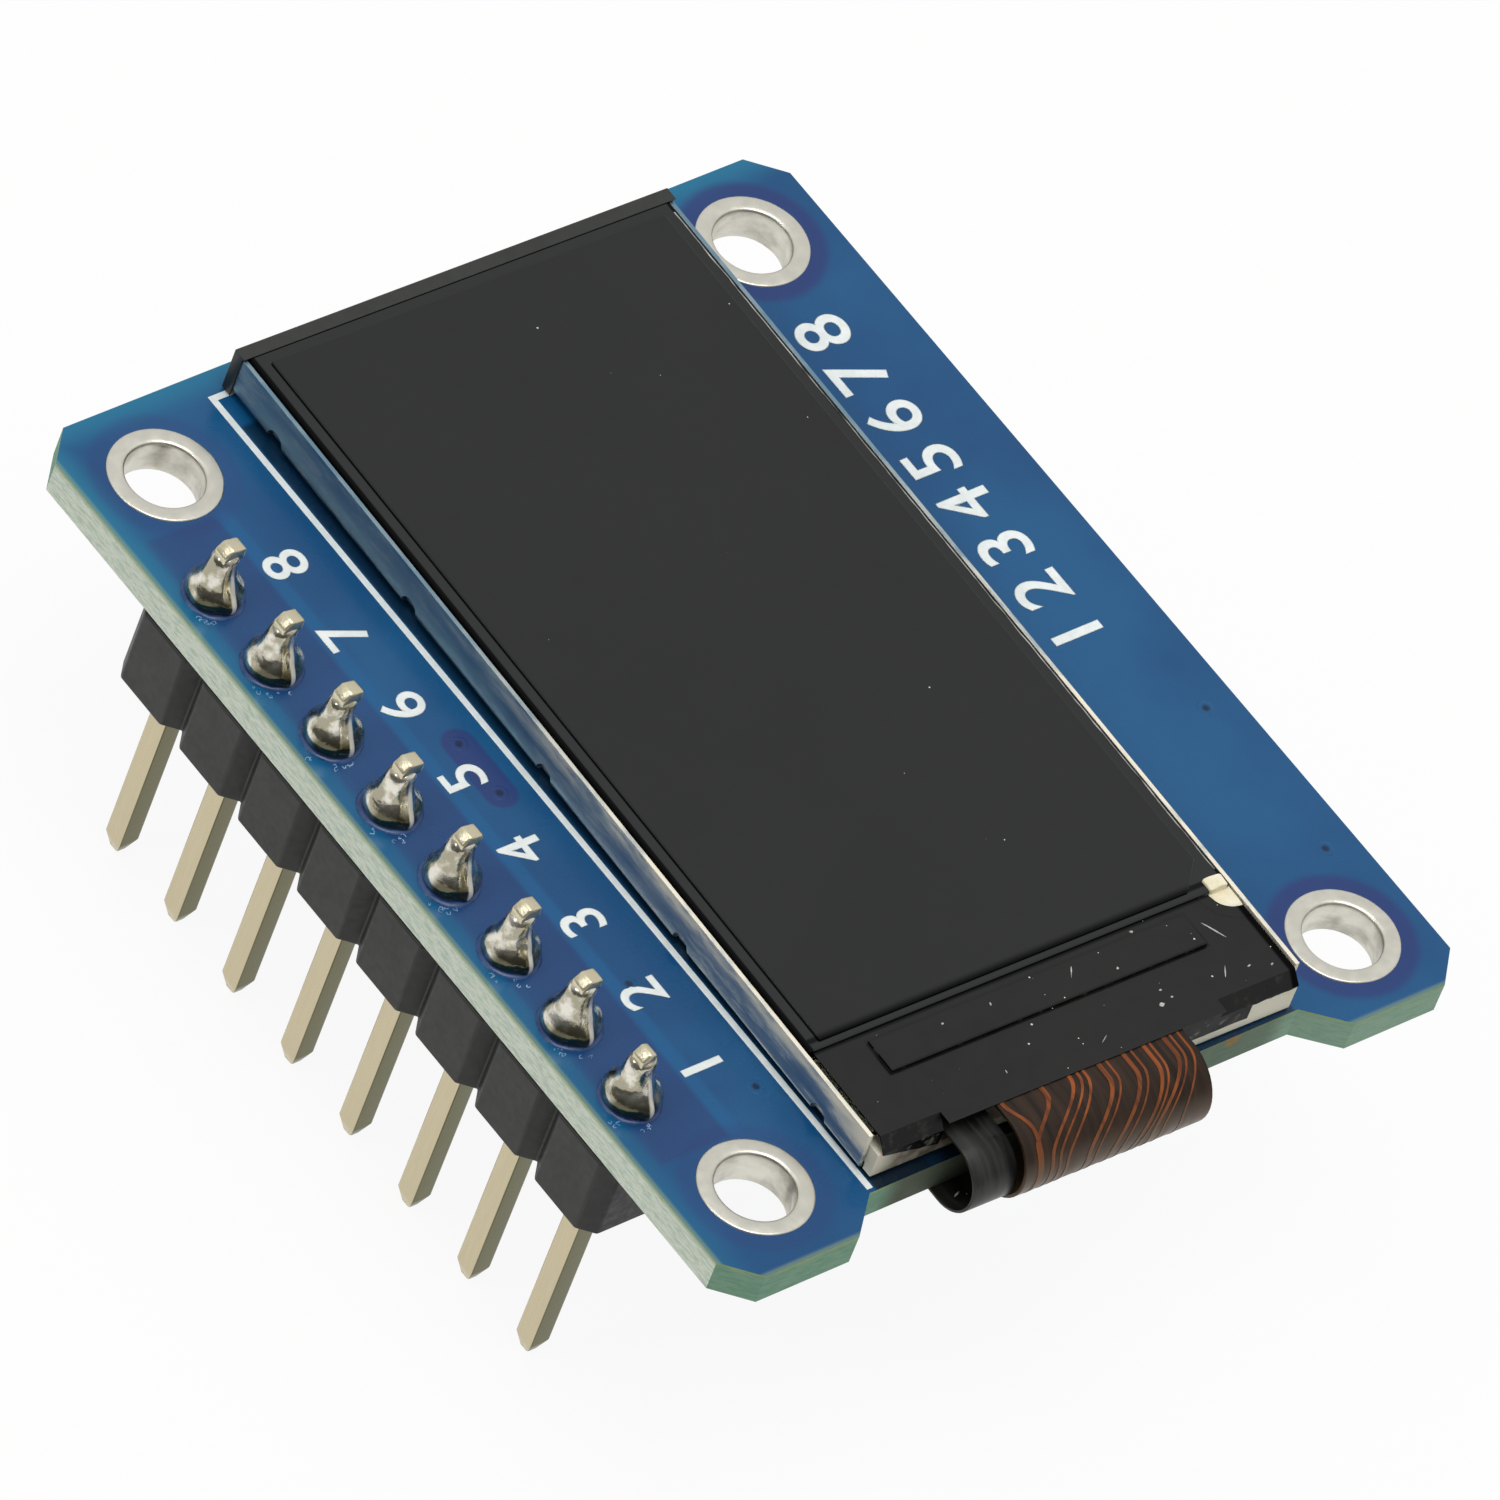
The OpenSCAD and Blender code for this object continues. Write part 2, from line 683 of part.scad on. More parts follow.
module flex_tail() {
    color("#4a3526")
    on_panel()
    folded_strip(flex_x - flex_w / 2, flex_w, flex_t, glass_low_y + bond_l, colour_z, fold_y + flex_under);
}

// The ledge tape's outline: a tongue over both flexes, and a round cut in the corner beside the paste
module ledge_tape_outline() {
    tongue_low_x = exit_low_x - tape_gap;
    tongue_high_x = flex_x + flex_w / 2 + tongue_beyond;
    shoulder_y = low_y + tape_shoulder;
    difference() {
        polygon([
            [-tape_x, shoulder_y], [tongue_low_x, shoulder_y], [tongue_low_x, tape_low_y],
            [tongue_high_x, tape_low_y], [tongue_high_x, shoulder_y], [tape_x, shoulder_y],
            [tape_x, tape_high_y], [-tape_x, tape_high_y]
        ]);
        translate([tape_x, tape_high_y]) circle(tape_cut);
    }
}

// A flap of the ledge tape that slopes from a shoulder down to the frame's end
module tape_flap(low_x, high_x) {
    shoulder_y = low_y + tape_shoulder;
    end_z = frame_z + tape_gap;
    along_x(low_x, high_x) polygon([
        [shoulder_y, ledge_tape_z + tape_t], [shoulder_y, ledge_tape_z], [flap_y, end_z],
        [flap_y - tape_t, end_z], [flap_y - tape_t, end_z + tape_t]
    ]);
}

// Tape that hangs in front of the frame's end: cut on the slant at the left, and level at the right
module tape_drops() {
    drop_top_z = frame_z + tape_gap + tape_t;
    drop_low_z = frame_z - exit_d + tape_gap;
    along_y(flap_y - tape_t, flap_y) polygon([
        [-tape_x, frame_z], [exit_low_x - tape_gap, drop_low_z], [exit_low_x - tape_gap, drop_top_z],
        [-tape_x, drop_top_z]
    ]);
    block([flex_x + flex_w / 2 + tape_gap, flap_y - tape_t, drop_low_z],
          [exit_high_x, flap_y, drop_top_z]);
    block([flex_x + flex_w / 2 + tape_gap, flap_y - tape_t, drop_low_z],
          [flex_x + flex_w / 2 + tongue_beyond, flap_y, ledge_tape_z + tape_t]);
}

// The driver chip's place, grown all round by a distance
module chip_space(grow, low, high) {
    block([chip_x - chip_l / 2 - grow, chip_low_y - grow, low],
          [chip_x + chip_l / 2 + grow, chip_low_y + chip_w + grow, high]);
}

module ledge_tape() {
    chip_z = colour_z + chip_t;
    color("#242524")
    on_panel()
    difference() {
        union() {
            translate([0, 0, ledge_tape_z]) linear_extrude(tape_t) ledge_tape_outline();
            tape_flap(-tape_x, exit_low_x - tape_gap);
            tape_flap(flex_x + flex_w / 2 + tongue_beyond, tape_x);
            tape_drops();
            chip_space(tape_gap + tape_t, ledge_tape_z, chip_z + tape_t);
        }
        chip_space(tape_gap, ledge_tape_z - cut, chip_z);
    }
}

// Tape folded over the upper end: a flange on the glass, the end wall and two short returns
module end_tape() {
    x = panel_w / 2;
    top_z = front_polar_z + tape_t;
    color("#242524")
    on_panel() {
        block([-x - tape_t, high_y - end_tape_w, front_polar_z], [x + tape_t, high_y + tape_t, top_z]);
        block([-x - tape_t, high_y, end_tape_lift], [x + tape_t, high_y + tape_t, top_z]);
        for (s = [0, 1])
            mirror([s, 0, 0])
                block([x, high_y - end_tape_return, end_tape_lift], [x + tape_t, high_y, top_z]);
    }
}

module flex_pads() {
    end_y = fold_y + flex_under;
    color("gold")
    on_panel() for (i = [0 : finger_count - 1])
        block([finger_x(i) - finger_w / 2, end_y - finger_l, under_z],
              [finger_x(i) + finger_w / 2, end_y + finger_bare, -board_t]);
}

// A bead at the end of each finger, against the end of the flex and on the bare part of its pad
module flex_solder() {
    end_y = fold_y + flex_under;
    color("silver")
    on_panel() for (i = [0 : finger_count - 1])
        along_x(finger_x(i) - finger_w / 2, finger_x(i) + finger_w / 2) polygon([
            [end_y, under_z], [end_y, under_z - flex_t], [end_y + finger_bare / 2, under_z - flex_t / 2],
            [end_y + finger_bare, under_z]
        ]);
}

// Puts its children under the board, with their foot on a solder pad
module on_pad(at) {
    translate([at[0], at[1], -plating_t]) children();
}

// A three-lead package under the board: a body with drafted sides
module sot_body(at) {
    belly = sot_lift + sot_h / 2;
    draft = sot_h / 8;
    foot = sot_lift + sot_h;
    on_pad(at)
    intersection() {
        along_y(-sot_l / 2, sot_l / 2) polygon([
            [-sot_w / 2 + draft, -foot], [sot_w / 2 - draft, -foot], [sot_w / 2, -belly],
            [sot_w / 2 - draft, -sot_lift], [-sot_w / 2 + draft, -sot_lift], [-sot_w / 2, -belly]
        ]);
        along_x(-sot_w / 2, sot_w / 2) polygon([
            [-sot_l / 2 + draft, -foot], [sot_l / 2 - draft, -foot], [sot_l / 2, -belly],
            [sot_l / 2 - draft, -sot_lift], [-sot_l / 2 + draft, -sot_lift], [-sot_l / 2, -belly]
        ]);
    }
}

// Places its children at the three leads of a package, each turned to point outwards along X
module at_leads(at) {
    row = sot_l / 2 - lead_w;
    for (y = [-row, row]) on_pad(at) translate([0, y, 0]) mirror([1, 0, 0]) children();
    on_pad(at) children();
}

// A gull-wing lead, from the belly of the body to its pad
module sot_lead() {
    belly = sot_lift + sot_h / 2;
    root = sot_w / 2;
    knee = root + lead_reach / 3;
    toe = root + lead_reach;
    along_y(-lead_w / 2, lead_w / 2) polygon([
        [root, -belly - lead_t / 2], [knee + lead_t / 2, -belly - lead_t / 2], [knee + lead_t, -lead_t],
        [toe, -lead_t], [toe, 0], [knee, 0], [knee - lead_t / 2, -belly + lead_t / 2], [root, -belly + lead_t / 2]
    ]);
}

// A solder pad on the board, under a foot that runs along X from one place to another
module foot_pad(low, high, w) {
    block([low - pad_margin, -w / 2 - pad_margin, 0],
          [high + fillet_reach + pad_margin, w / 2 + pad_margin, plating_t]);
}

// A solder fillet in front of a foot
module foot_solder(toe, w, h) {
    along_y(-w / 2, w / 2) polygon([
        [toe, 0], [toe + fillet_reach, 0], [toe + fillet_reach / 3, -h / 3], [toe, -h]
    ]);
}

module regulator_body() {
    color("#222222") sot_body(regulator_at);
}

module regulator_leads() {
    color("silver") at_leads(regulator_at) sot_lead();
}

module transistor_body() {
    color("#222222") sot_body(transistor_at);
}

module transistor_leads() {
    color("silver") at_leads(transistor_at) sot_lead();
}

// The ceramic middle of a chip part, between its tinned ends
module chip_middle(at, h) {
    l = chip_part_l / 2 - chip_part_end;
    on_pad(at) block([-l, -chip_part_w / 2, -h], [l, chip_part_w / 2, 0]);
}

// Places its children at both ends of a chip part, each turned to point outwards along X
module at_chip_ends(at) {
    for (s = [0, 1]) on_pad(at) mirror([s, 0, 0]) children();
}

module chip_end(h) {
    block([chip_part_l / 2 - chip_part_end, -chip_part_w / 2, -h], [chip_part_l / 2, chip_part_w / 2, 0]);
}

module part_pads() {
    color("gainsboro") {
        for (at = [regulator_at, transistor_at])
            at_leads(at) foot_pad(sot_w / 2 + lead_reach / 3, sot_w / 2 + lead_reach, lead_w);
        for (at = concat(resistor_at, capacitor_at))
            at_chip_ends(at) foot_pad(chip_part_l / 2 - chip_part_end, chip_part_l / 2, chip_part_w);
    }
}

module part_solder() {
    color("silver") {
        for (at = [regulator_at, transistor_at])
            at_leads(at) foot_solder(sot_w / 2 + lead_reach, lead_w, lead_t);
        for (at = concat(resistor_at, capacitor_at))
            at_chip_ends(at) foot_solder(chip_part_l / 2, chip_part_w, fillet_h);
    }
}

module chip_resistors() {
    color("#1c1c1e") for (at = resistor_at) chip_middle(at, resistor_h);
}

module chip_capacitors() {
    color("#a98f6c") for (at = capacitor_at) chip_middle(at, capacitor_h);
}

module chip_part_ends() {
    color("silver") {
        for (at = resistor_at) at_chip_ends(at) chip_end(resistor_h);
        for (at = capacitor_at) at_chip_ends(at) chip_end(capacitor_h);
    }
}

circuit_board();
hole_plating();
pin_hole_plating();
header_strip();
for (i = [0 : pin_count - 1]) header_pin(i);
for (i = [0 : pin_count - 1]) solder_joint(i);
foam_tape();
steel_tray();
light_frame();
reflector_film();
light_guide();
diffuser_film();
lower_prism_film();
upper_prism_film();
backlight_lamp();
lamp_flex();
rim_tape();
rear_polariser();
pixel_glass();
colour_glass();
front_polariser();
driver_chip();
ground_paste();
flex_tail();
ledge_tape();
end_tape();
flex_pads();
flex_solder();
regulator_body();
regulator_leads();
transistor_body();
transistor_leads();
chip_resistors();
chip_capacitors();
chip_part_ends();
part_pads();
part_solder();
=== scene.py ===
import math
import random
from functools import partial

import bpy
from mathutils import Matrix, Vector, noise


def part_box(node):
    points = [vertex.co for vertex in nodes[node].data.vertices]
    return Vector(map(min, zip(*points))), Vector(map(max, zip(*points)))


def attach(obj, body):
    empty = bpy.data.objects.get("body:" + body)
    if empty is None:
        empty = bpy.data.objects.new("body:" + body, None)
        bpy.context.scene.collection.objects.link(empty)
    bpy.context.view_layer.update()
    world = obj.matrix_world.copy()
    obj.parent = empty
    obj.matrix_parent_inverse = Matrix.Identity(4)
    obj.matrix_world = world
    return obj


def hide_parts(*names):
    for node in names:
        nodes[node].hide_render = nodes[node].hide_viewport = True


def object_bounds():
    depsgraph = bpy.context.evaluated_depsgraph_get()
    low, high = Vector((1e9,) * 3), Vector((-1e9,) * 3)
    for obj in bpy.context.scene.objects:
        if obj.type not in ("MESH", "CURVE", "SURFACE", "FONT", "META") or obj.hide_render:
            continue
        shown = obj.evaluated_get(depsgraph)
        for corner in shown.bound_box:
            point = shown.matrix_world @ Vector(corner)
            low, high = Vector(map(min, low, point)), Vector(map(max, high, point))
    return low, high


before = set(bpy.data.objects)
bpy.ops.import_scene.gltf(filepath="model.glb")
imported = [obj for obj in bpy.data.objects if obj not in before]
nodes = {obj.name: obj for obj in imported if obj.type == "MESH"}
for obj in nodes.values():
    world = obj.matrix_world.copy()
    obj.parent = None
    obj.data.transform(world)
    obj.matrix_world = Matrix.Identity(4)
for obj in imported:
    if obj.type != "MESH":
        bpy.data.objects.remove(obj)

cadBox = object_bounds()
mm = 0.001
origin = Vector((0, 0, 0))
pinCount = 8
noise.seed_set(4)  # the same lumps each run
print("frame loaded:", len(nodes), "nodes")


# selection and editing
def dropSelection():
    bpy.ops.object.select_all(action="DESELECT")


def pick(piece):
    dropSelection()
    bpy.context.view_layer.objects.active = piece
    piece.select_set(True)


def addShape(operator, name, **settings):
    dropSelection()
    operator(**settings)
    piece = bpy.context.object
    piece.name = name
    return piece


# edit mode starts with everything selected
def openEdit(piece):
    pick(piece)
    bpy.ops.object.mode_set(mode="EDIT")
    bpy.ops.mesh.select_mode(type="VERT")
    bpy.ops.mesh.select_all(action="SELECT")


def closeEdit():
    bpy.ops.object.mode_set(mode="OBJECT")


def dropChoice(kind):
    bpy.ops.mesh.select_mode(type=kind)
    bpy.ops.mesh.select_all(action="DESELECT")
    bpy.ops.object.mode_set(mode="OBJECT")


def choosePoints(piece, test):
    dropChoice("VERT")
    for point in piece.data.vertices:
        point.select = test(point.co)
    bpy.ops.object.mode_set(mode="EDIT")


def chooseEdges(piece, test):
    dropChoice("EDGE")
    points = piece.data.vertices
    for edge in piece.data.edges:
        edge.select = test(points[edge.vertices[0]].co, points[edge.vertices[1]].co)
    bpy.ops.object.mode_set(mode="EDIT")


def extrudeBy(x, y, z):
    bpy.ops.mesh.extrude_region_move(TRANSFORM_OT_translate={"value": (x, y, z)})


def faceOutwards():
    bpy.ops.mesh.select_all(action="SELECT")
    bpy.ops.mesh.normals_make_consistent(inside=False)


def turnFaces(piece, inside=False):
    openEdit(piece)
    bpy.ops.mesh.normals_make_consistent(inside=inside)
    closeEdit()


def applyPlace(piece):
    pick(piece)
    bpy.ops.object.transform_apply(location=True, rotation=True, scale=True)


def setAll(owner, **settings):
    for key, value in settings.items():
        setattr(owner, key, value)


def applyModifier(piece, kind, **settings):
    modifier = piece.modifiers.new(kind.lower(), kind)
    setAll(modifier, **settings)
    pick(piece)
    bpy.ops.object.modifier_apply(modifier=modifier.name)


def subdivide(piece, levels):
    applyModifier(piece, "SUBSURF", levels=levels, render_levels=levels)


def smoothOff(piece, degrees=60):
    pick(piece)
    bpy.ops.object.shade_smooth_by_angle(angle=math.radians(degrees))


def joinAll(pieces, name):
    dropSelection()
    for piece in pieces:
        piece.select_set(True)
    bpy.context.view_layer.objects.active = pieces[0]
    bpy.ops.object.join()
    joined = bpy.context.view_layer.objects.active
    joined.name = name
    joined.data.name = name
    return joined


def copyNode(nodeName, pieceName):
    mesh = nodes[nodeName].data.copy()
    mesh.materials.clear()
    piece = bpy.data.objects.new(pieceName, mesh)
    bpy.context.scene.collection.objects.link(piece)
    pick(piece)
    bpy.ops.mesh.customdata_custom_splitnormals_clear()
    openEdit(piece)
    bpy.ops.mesh.remove_doubles(threshold=1e-7)
    bpy.ops.mesh.dissolve_limited(angle_limit=math.radians(0.6))
    closeEdit()
    return piece


def bevelEdges(piece, width, segments, angle):
    applyModifier(piece, "BEVEL", width=width * mm, segments=segments, limit_method="ANGLE",
                  angle_limit=math.radians(angle))


def softCopy(nodeName, pieceName, width, segments=2, angle=40):
    piece = copyNode(nodeName, pieceName)
    bevelEdges(piece, width, segments, angle)
    smoothOff(piece, 50)
    applyModifier(piece, "WEIGHTED_NORMAL", weight=50, keep_sharp=True)
    return piece


def settle(piece, finishName, slotName, *replaced):
    piece.data.materials.clear()
    piece.data.materials.append(finishes[finishName])
    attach(piece, "root")
    if replaced:
        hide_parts(*replaced)


# the display's own frame: its place on the board in mm, and its turn
panelSet = {"place": (0.25, 0.24, 1.0), "turn": math.radians(-1.0)}


def panelPoint(x, y, z):
    turn = panelSet["turn"]
    left, near, low = panelSet["place"]
    return Vector((left + x * math.cos(turn) - y * math.sin(turn),
                   near + x * math.sin(turn) + y * math.cos(turn), low + z)) * mm


def toPanel(piece):
    piece.rotation_euler.z = panelSet["turn"]
    piece.location = Vector(panelSet["place"]) * mm
    applyPlace(piece)


# a ring of points, drawn up ring by ring: radius, height and, where there is one, a lean along X, in mm
def ringStack(name, sides, centre, rings, closeTop=False):
    rings = [(*ring, 0.0)[:3] for ring in rings]
    last = rings[0]
    piece = addShape(bpy.ops.mesh.primitive_circle_add, name, vertices=sides, radius=last[0] * mm,
                     fill_type="NOTHING", location=(centre.x, centre.y, centre.z + last[1] * mm))
    applyPlace(piece)
    openEdit(piece)
    for ring in rings[1:]:
        extrudeBy((ring[2] - last[2]) * mm, 0, (ring[1] - last[1]) * mm)
        share = ring[0] / last[0]
        middle = (centre.x + ring[2] * mm, centre.y, centre.z + ring[1] * mm)
        bpy.ops.transform.resize(value=(share, share, 1.0), center_override=middle)
        last = ring
    if closeTop:
        bpy.ops.mesh.edge_face_add()
        bpy.ops.mesh.inset(thickness=last[0] * 0.5 * mm)
    closeEdit()
    return piece


# a flat strip drawn through a row of places, as wide along X as given in mm
def ribbon(name, places, width, thick):
    middle = places[0] + Vector((0, width / 2 * mm, 0))
    strand = addShape(bpy.ops.mesh.primitive_plane_add, name, size=width * mm, location=middle)
    applyPlace(strand)
    openEdit(strand)
    choosePoints(strand, lambda point: point.y > places[0].y + width / 2 * mm)
    bpy.ops.mesh.delete(type="VERT")
    bpy.ops.mesh.select_all(action="SELECT")
    for here, ahead in zip(places, places[1:]):
        extrudeBy(*(ahead - here))
    closeEdit()
    applyModifier(strand, "SOLIDIFY", thickness=thick * mm, offset=0.0)
    return strand


def roughen(piece, amount, perMm, seed, flat=False):
    shift = Vector((seed * 3.17, seed * 1.31, seed * 2.03))
    for point in piece.data.vertices:
        push = noise.noise_vector(point.co * 1000 * perMm + shift) * amount * mm
        if flat:
            push.z = 0.0
        point.co += push


# shader building: these helpers draw in the node tree that lies on the bench
bench = {"tree": None, "shader": None}
finishes = {}


def startTree(owner):
    owner.use_nodes = True
    owner.node_tree.nodes.clear()
    bench["tree"] = owner.node_tree


def tone(r, g, b):
    return tuple(c / 255 / 12.92 if c <= 10 else ((c / 255 + 0.055) / 1.055) ** 2.4
                 for c in (r, g, b)) + (1.0,)


def addNode(kind, **settings):
    node = bench["tree"].nodes.new("ShaderNode" + kind)
    setAll(node, **settings)
    return node


def feed(socket, value):
    if hasattr(value, "is_linked"):
        bench["tree"].links.new(value, socket)
    else:
        socket.default_value = value


def feedAll(node, **values):
    for key, value in values.items():
        feed(node.inputs[key.replace("_", " ")], value)


def maths(operation, *values):
    node = addNode("Math", operation=operation)
    for socket, value in zip(node.inputs, values):
        feed(socket, value)
    return node.outputs[0]


times = partial(maths, "MULTIPLY")
timesPlus = partial(maths, "MULTIPLY_ADD")
plus = partial(maths, "ADD")
minus = partial(maths, "SUBTRACT")
most = partial(maths, "MAXIMUM")
least = partial(maths, "MINIMUM")
absolute = partial(maths, "ABSOLUTE")


# each side is a colour socket or a tone of three numbers
def blend(share, a, b):
    node = addNode("Mix", data_type="RGBA")
    for slot, value in ((0, share), (6, a), (7, b)):
        feed(node.inputs[slot], tone(*value) if isinstance(value, tuple) else value)
    return node.outputs[2]


def rise(value, low, high, bottom=0.0, top=1.0):
    node = addNode("MapRange", interpolation_type="SMOOTHSTEP")
    for socket, number in zip(node.inputs, (value, low, high, bottom, top)):
        feed(socket, number)
    return node.outputs[0]


def fall(value, low, high, top=1.0):
    return rise(value, low, high, top, 0.0)


def upTo(value, end, soft, top=1.0):
    return fall(value, end - soft, end + soft, top)


def within(value, low, high, soft):
    return times(rise(value, low - soft, low + soft), upTo(value, high, soft))


def stretched(place, sizes):
    node = addNode("Mapping")
    feedAll(node, Vector=place, Scale=sizes)
    return node.outputs[0]


def grain(place, perMm, detail=4.0, rough=0.55):
    node = addNode("TexNoise")
    feedAll(node, Vector=place, Scale=perMm, Detail=detail, Roughness=rough)
    return node.outputs[0]


# a new finish is laid on the bench, and the places on it come back in mm
def startFinish(name):
    finishes[name] = bpy.data.materials.new(name)
    startTree(finishes[name])
    bench["shader"] = addNode("BsdfPrincipled")
    feed(addNode("OutputMaterial").inputs["Surface"], bench["shader"].outputs[0])
    inMm = addNode("VectorMath", operation="SCALE")
    feed(inMm.inputs[0], addNode("TexCoord").outputs["Object"])
    feed(inMm.inputs["Scale"], 1000.0)
    return inMm.outputs[0]


# the finish on the bench gets its grain, of a depth in mm, and its sockets
def endFinish(height=None, depth=0.0, **sockets):
    shader = bench["shader"]
    if depth:
        node = addNode("Bump")
        feedAll(node, Distance=depth * mm, Height=height)
        feed(shader.inputs["Normal"], node.outputs[0])
    feedAll(shader, **sockets)


def axes(place):
    node = addNode("SeparateXYZ")
    feed(node.inputs[0], place)
    return node.outputs[0], node.outputs[1], node.outputs[2]


def panelAxes(place):
    node = addNode("Mapping", vector_type="TEXTURE")
    feedAll(node, Vector=place, Location=panelSet["place"], Rotation=(0, 0, panelSet["turn"]))
    return axes(node.outputs[0])


def faceAxes():
    return axes(addNode("TexCoord").outputs["Normal"])


# one on the faces towards the flex end, none on the others
def facingFront():
    return fall(faceAxes()[1], -0.8, -0.62)


def farFrom(a, b, at):
    node = addNode("CombineXYZ")
    feed(node.inputs[0], minus(a, at[0]))
    feed(node.inputs[1], minus(b, at[1]))
    length = addNode("VectorMath", operation="LENGTH")
    feed(length.inputs[0], node.outputs[0])
    return length.outputs["Value"]


def specks(place, perMm, share, size):
    cells = addNode("TexVoronoi", voronoi_dimensions="2D")
    feedAll(cells, Vector=place, Scale=perMm)
    cellTone = addNode("SeparateColor")
    feed(cellTone.inputs[0], cells.outputs["Color"])
    chosen = maths("LESS_THAN", cellTone.outputs[0], share)
    reach = times(cellTone.outputs[1], size * perMm)
    return times(chosen, maths("LESS_THAN", cells.outputs["Distance"], reach))


def plainFinish(name, first, second, perMm, rough, depth, stretch=None, front=None, **sockets):
    place = startFinish(name)
    if stretch:
        place = stretched(place, stretch)
    broad = grain(place, perMm * 0.22, 3.0)
    fine = grain(place, perMm, 5.0)
    body = blend(rise(timesPlus(fine, 0.5, times(broad, 0.5)), 0.32, 0.68), first, second)
    # painted shade: a darker tone on the faces towards the flex end
    if front:
        body = blend(facingFront(), body, front)
    endFinish(fine, depth, Base_Color=body, Roughness=rise(fine, 0.25, 0.75, *rough), **sockets)


# two tones, a grain size per mm, a span of roughness and a depth of grain in mm
finishTones = {
    "tin": ((214, 211, 198), (230, 227, 216), 3.0, (0.28, 0.44), 0.006),
    "headerPlastic": ((36, 37, 35), (48, 49, 46), 5.0, (0.42, 0.58), 0.004),
    "foam": ((22, 23, 25), (34, 35, 37), 9.0, (0.7, 0.9), 0.02),
    "whiteFilm": ((232, 232, 228), (242, 242, 240), 3.0, (0.4, 0.5), 0.001),
    "lampFace": ((236, 226, 160), (246, 238, 190), 4.0, (0.3, 0.4), 0.002),
    "silicon": ((44, 46, 50), (60, 62, 68), 2.0, (0.12, 0.2), 0.001),
    "paste": ((232, 218, 176), (248, 242, 218), 3.0, (0.35, 0.55), 0.02),
    "package": ((28, 28, 30), (40, 40, 42), 7.0, (0.5, 0.65), 0.006),
    "resistorBody": ((24, 24, 28), (40, 40, 46), 3.0, (0.25, 0.4), 0.003),
    "capacitorBody": ((150, 118, 84), (172, 140, 104), 4.0, (0.4, 0.5), 0.004),
    "edgeGlints": ((22, 23, 22), (196, 194, 186), 1.8, (0.3, 0.5), 0.01),
    "dust": ((140, 140, 134), (214, 214, 206), 6.0, (0.7, 0.9), 0.01),
    "printInk": ((222, 230, 228), (240, 245, 244), 4.0, (0.45, 0.6), 0.004),
    "fluxCrust": ((96, 138, 188), (184, 208, 228), 5.0, (0.3, 0.5), 0.01),
    "fluxSkin": ((16, 48, 98), (52, 84, 134), 3.0, (0.2, 0.4), 0.02),
    "endTape": ((30, 32, 29), (42, 44, 40), 3.0, (0.38, 0.55), 0.008),
    # the lamp's flex: black, with paler streaks along it as a painted sheen
    "lampFlex": ((6, 6, 6), (50, 50, 48), 2.2, (0.3, 0.46), 0.004),
}
# what some of them have besides
finishMore = {
    "tin": {"Metallic": 1.0},
    # the header's faces towards the flex end are painted darker as shade
    "headerPlastic": {"front": (14, 14, 13), "Specular_IOR_Level": 0.4},
    "silicon": {"Metallic": 0.6},
    "lampFlex": {"stretch": (3.0, 0.3, 0.3), "Specular_IOR_Level": 0.32},
}
for name, look in finishTones.items():
    plainFinish(name, *look, **finishMore.get(name, {}))


boardLook = {
    "mask": (10, 74, 122), "maskPale": (18, 86, 134), "pinBand": (32, 54, 108), "stripe": (16, 90, 142),
    "halo": (38, 44, 108), "rim": (24, 116, 150), "viaDark": (10, 30, 58), "gloss": 0.36,
    "cream": (234, 240, 226), "green": (96, 146, 119), "lip": (146, 168, 118), "stainAndShade": (150, 112, 52),
    "fibre": (126, 142, 114), "shadeAndGrime": (74, 76, 62), "shade": (12, 28, 40), "shadeX": (-6.78, -5.0),
    "shadeEnd": 13.1, "notchX": (-6.75, 6.9), "notchY": -13.2, "shadeAndGrimeX": (-6.3, 6.5),
    "lipEdge": (0.04, 0.16), "half": (12.0, 15.0), "holes": (9.6, 12.6), "haloEnd": 2.0,
    "bandX": (-11.45, -9.2), "bandY": 11.0, "stripeX": (-9.2, -8.78), "viaBar": (-7.88, 0.48, 2.22),
    "barEdge": (0.42, 0.54), "viaEdge": (0.05, 0.15), "rimWidth": 0.95, "rimY": (2.0, 13.0),
    "stainAt": (4.9, 0.87), "stainEdge": (0.12, 0.34), "stainY": (-13.0, -12.9), "top": 1.0,
    "weavePitch": 0.46, "rough": (0.2, 0.3), "depth": 0.008,
    "vias": [(-7.88, 2.22), (-7.88, 0.48), (-8.6, -5.95), (-7.6, -10.0), (11.0, -10.1), (11.0, -5.05)],
}


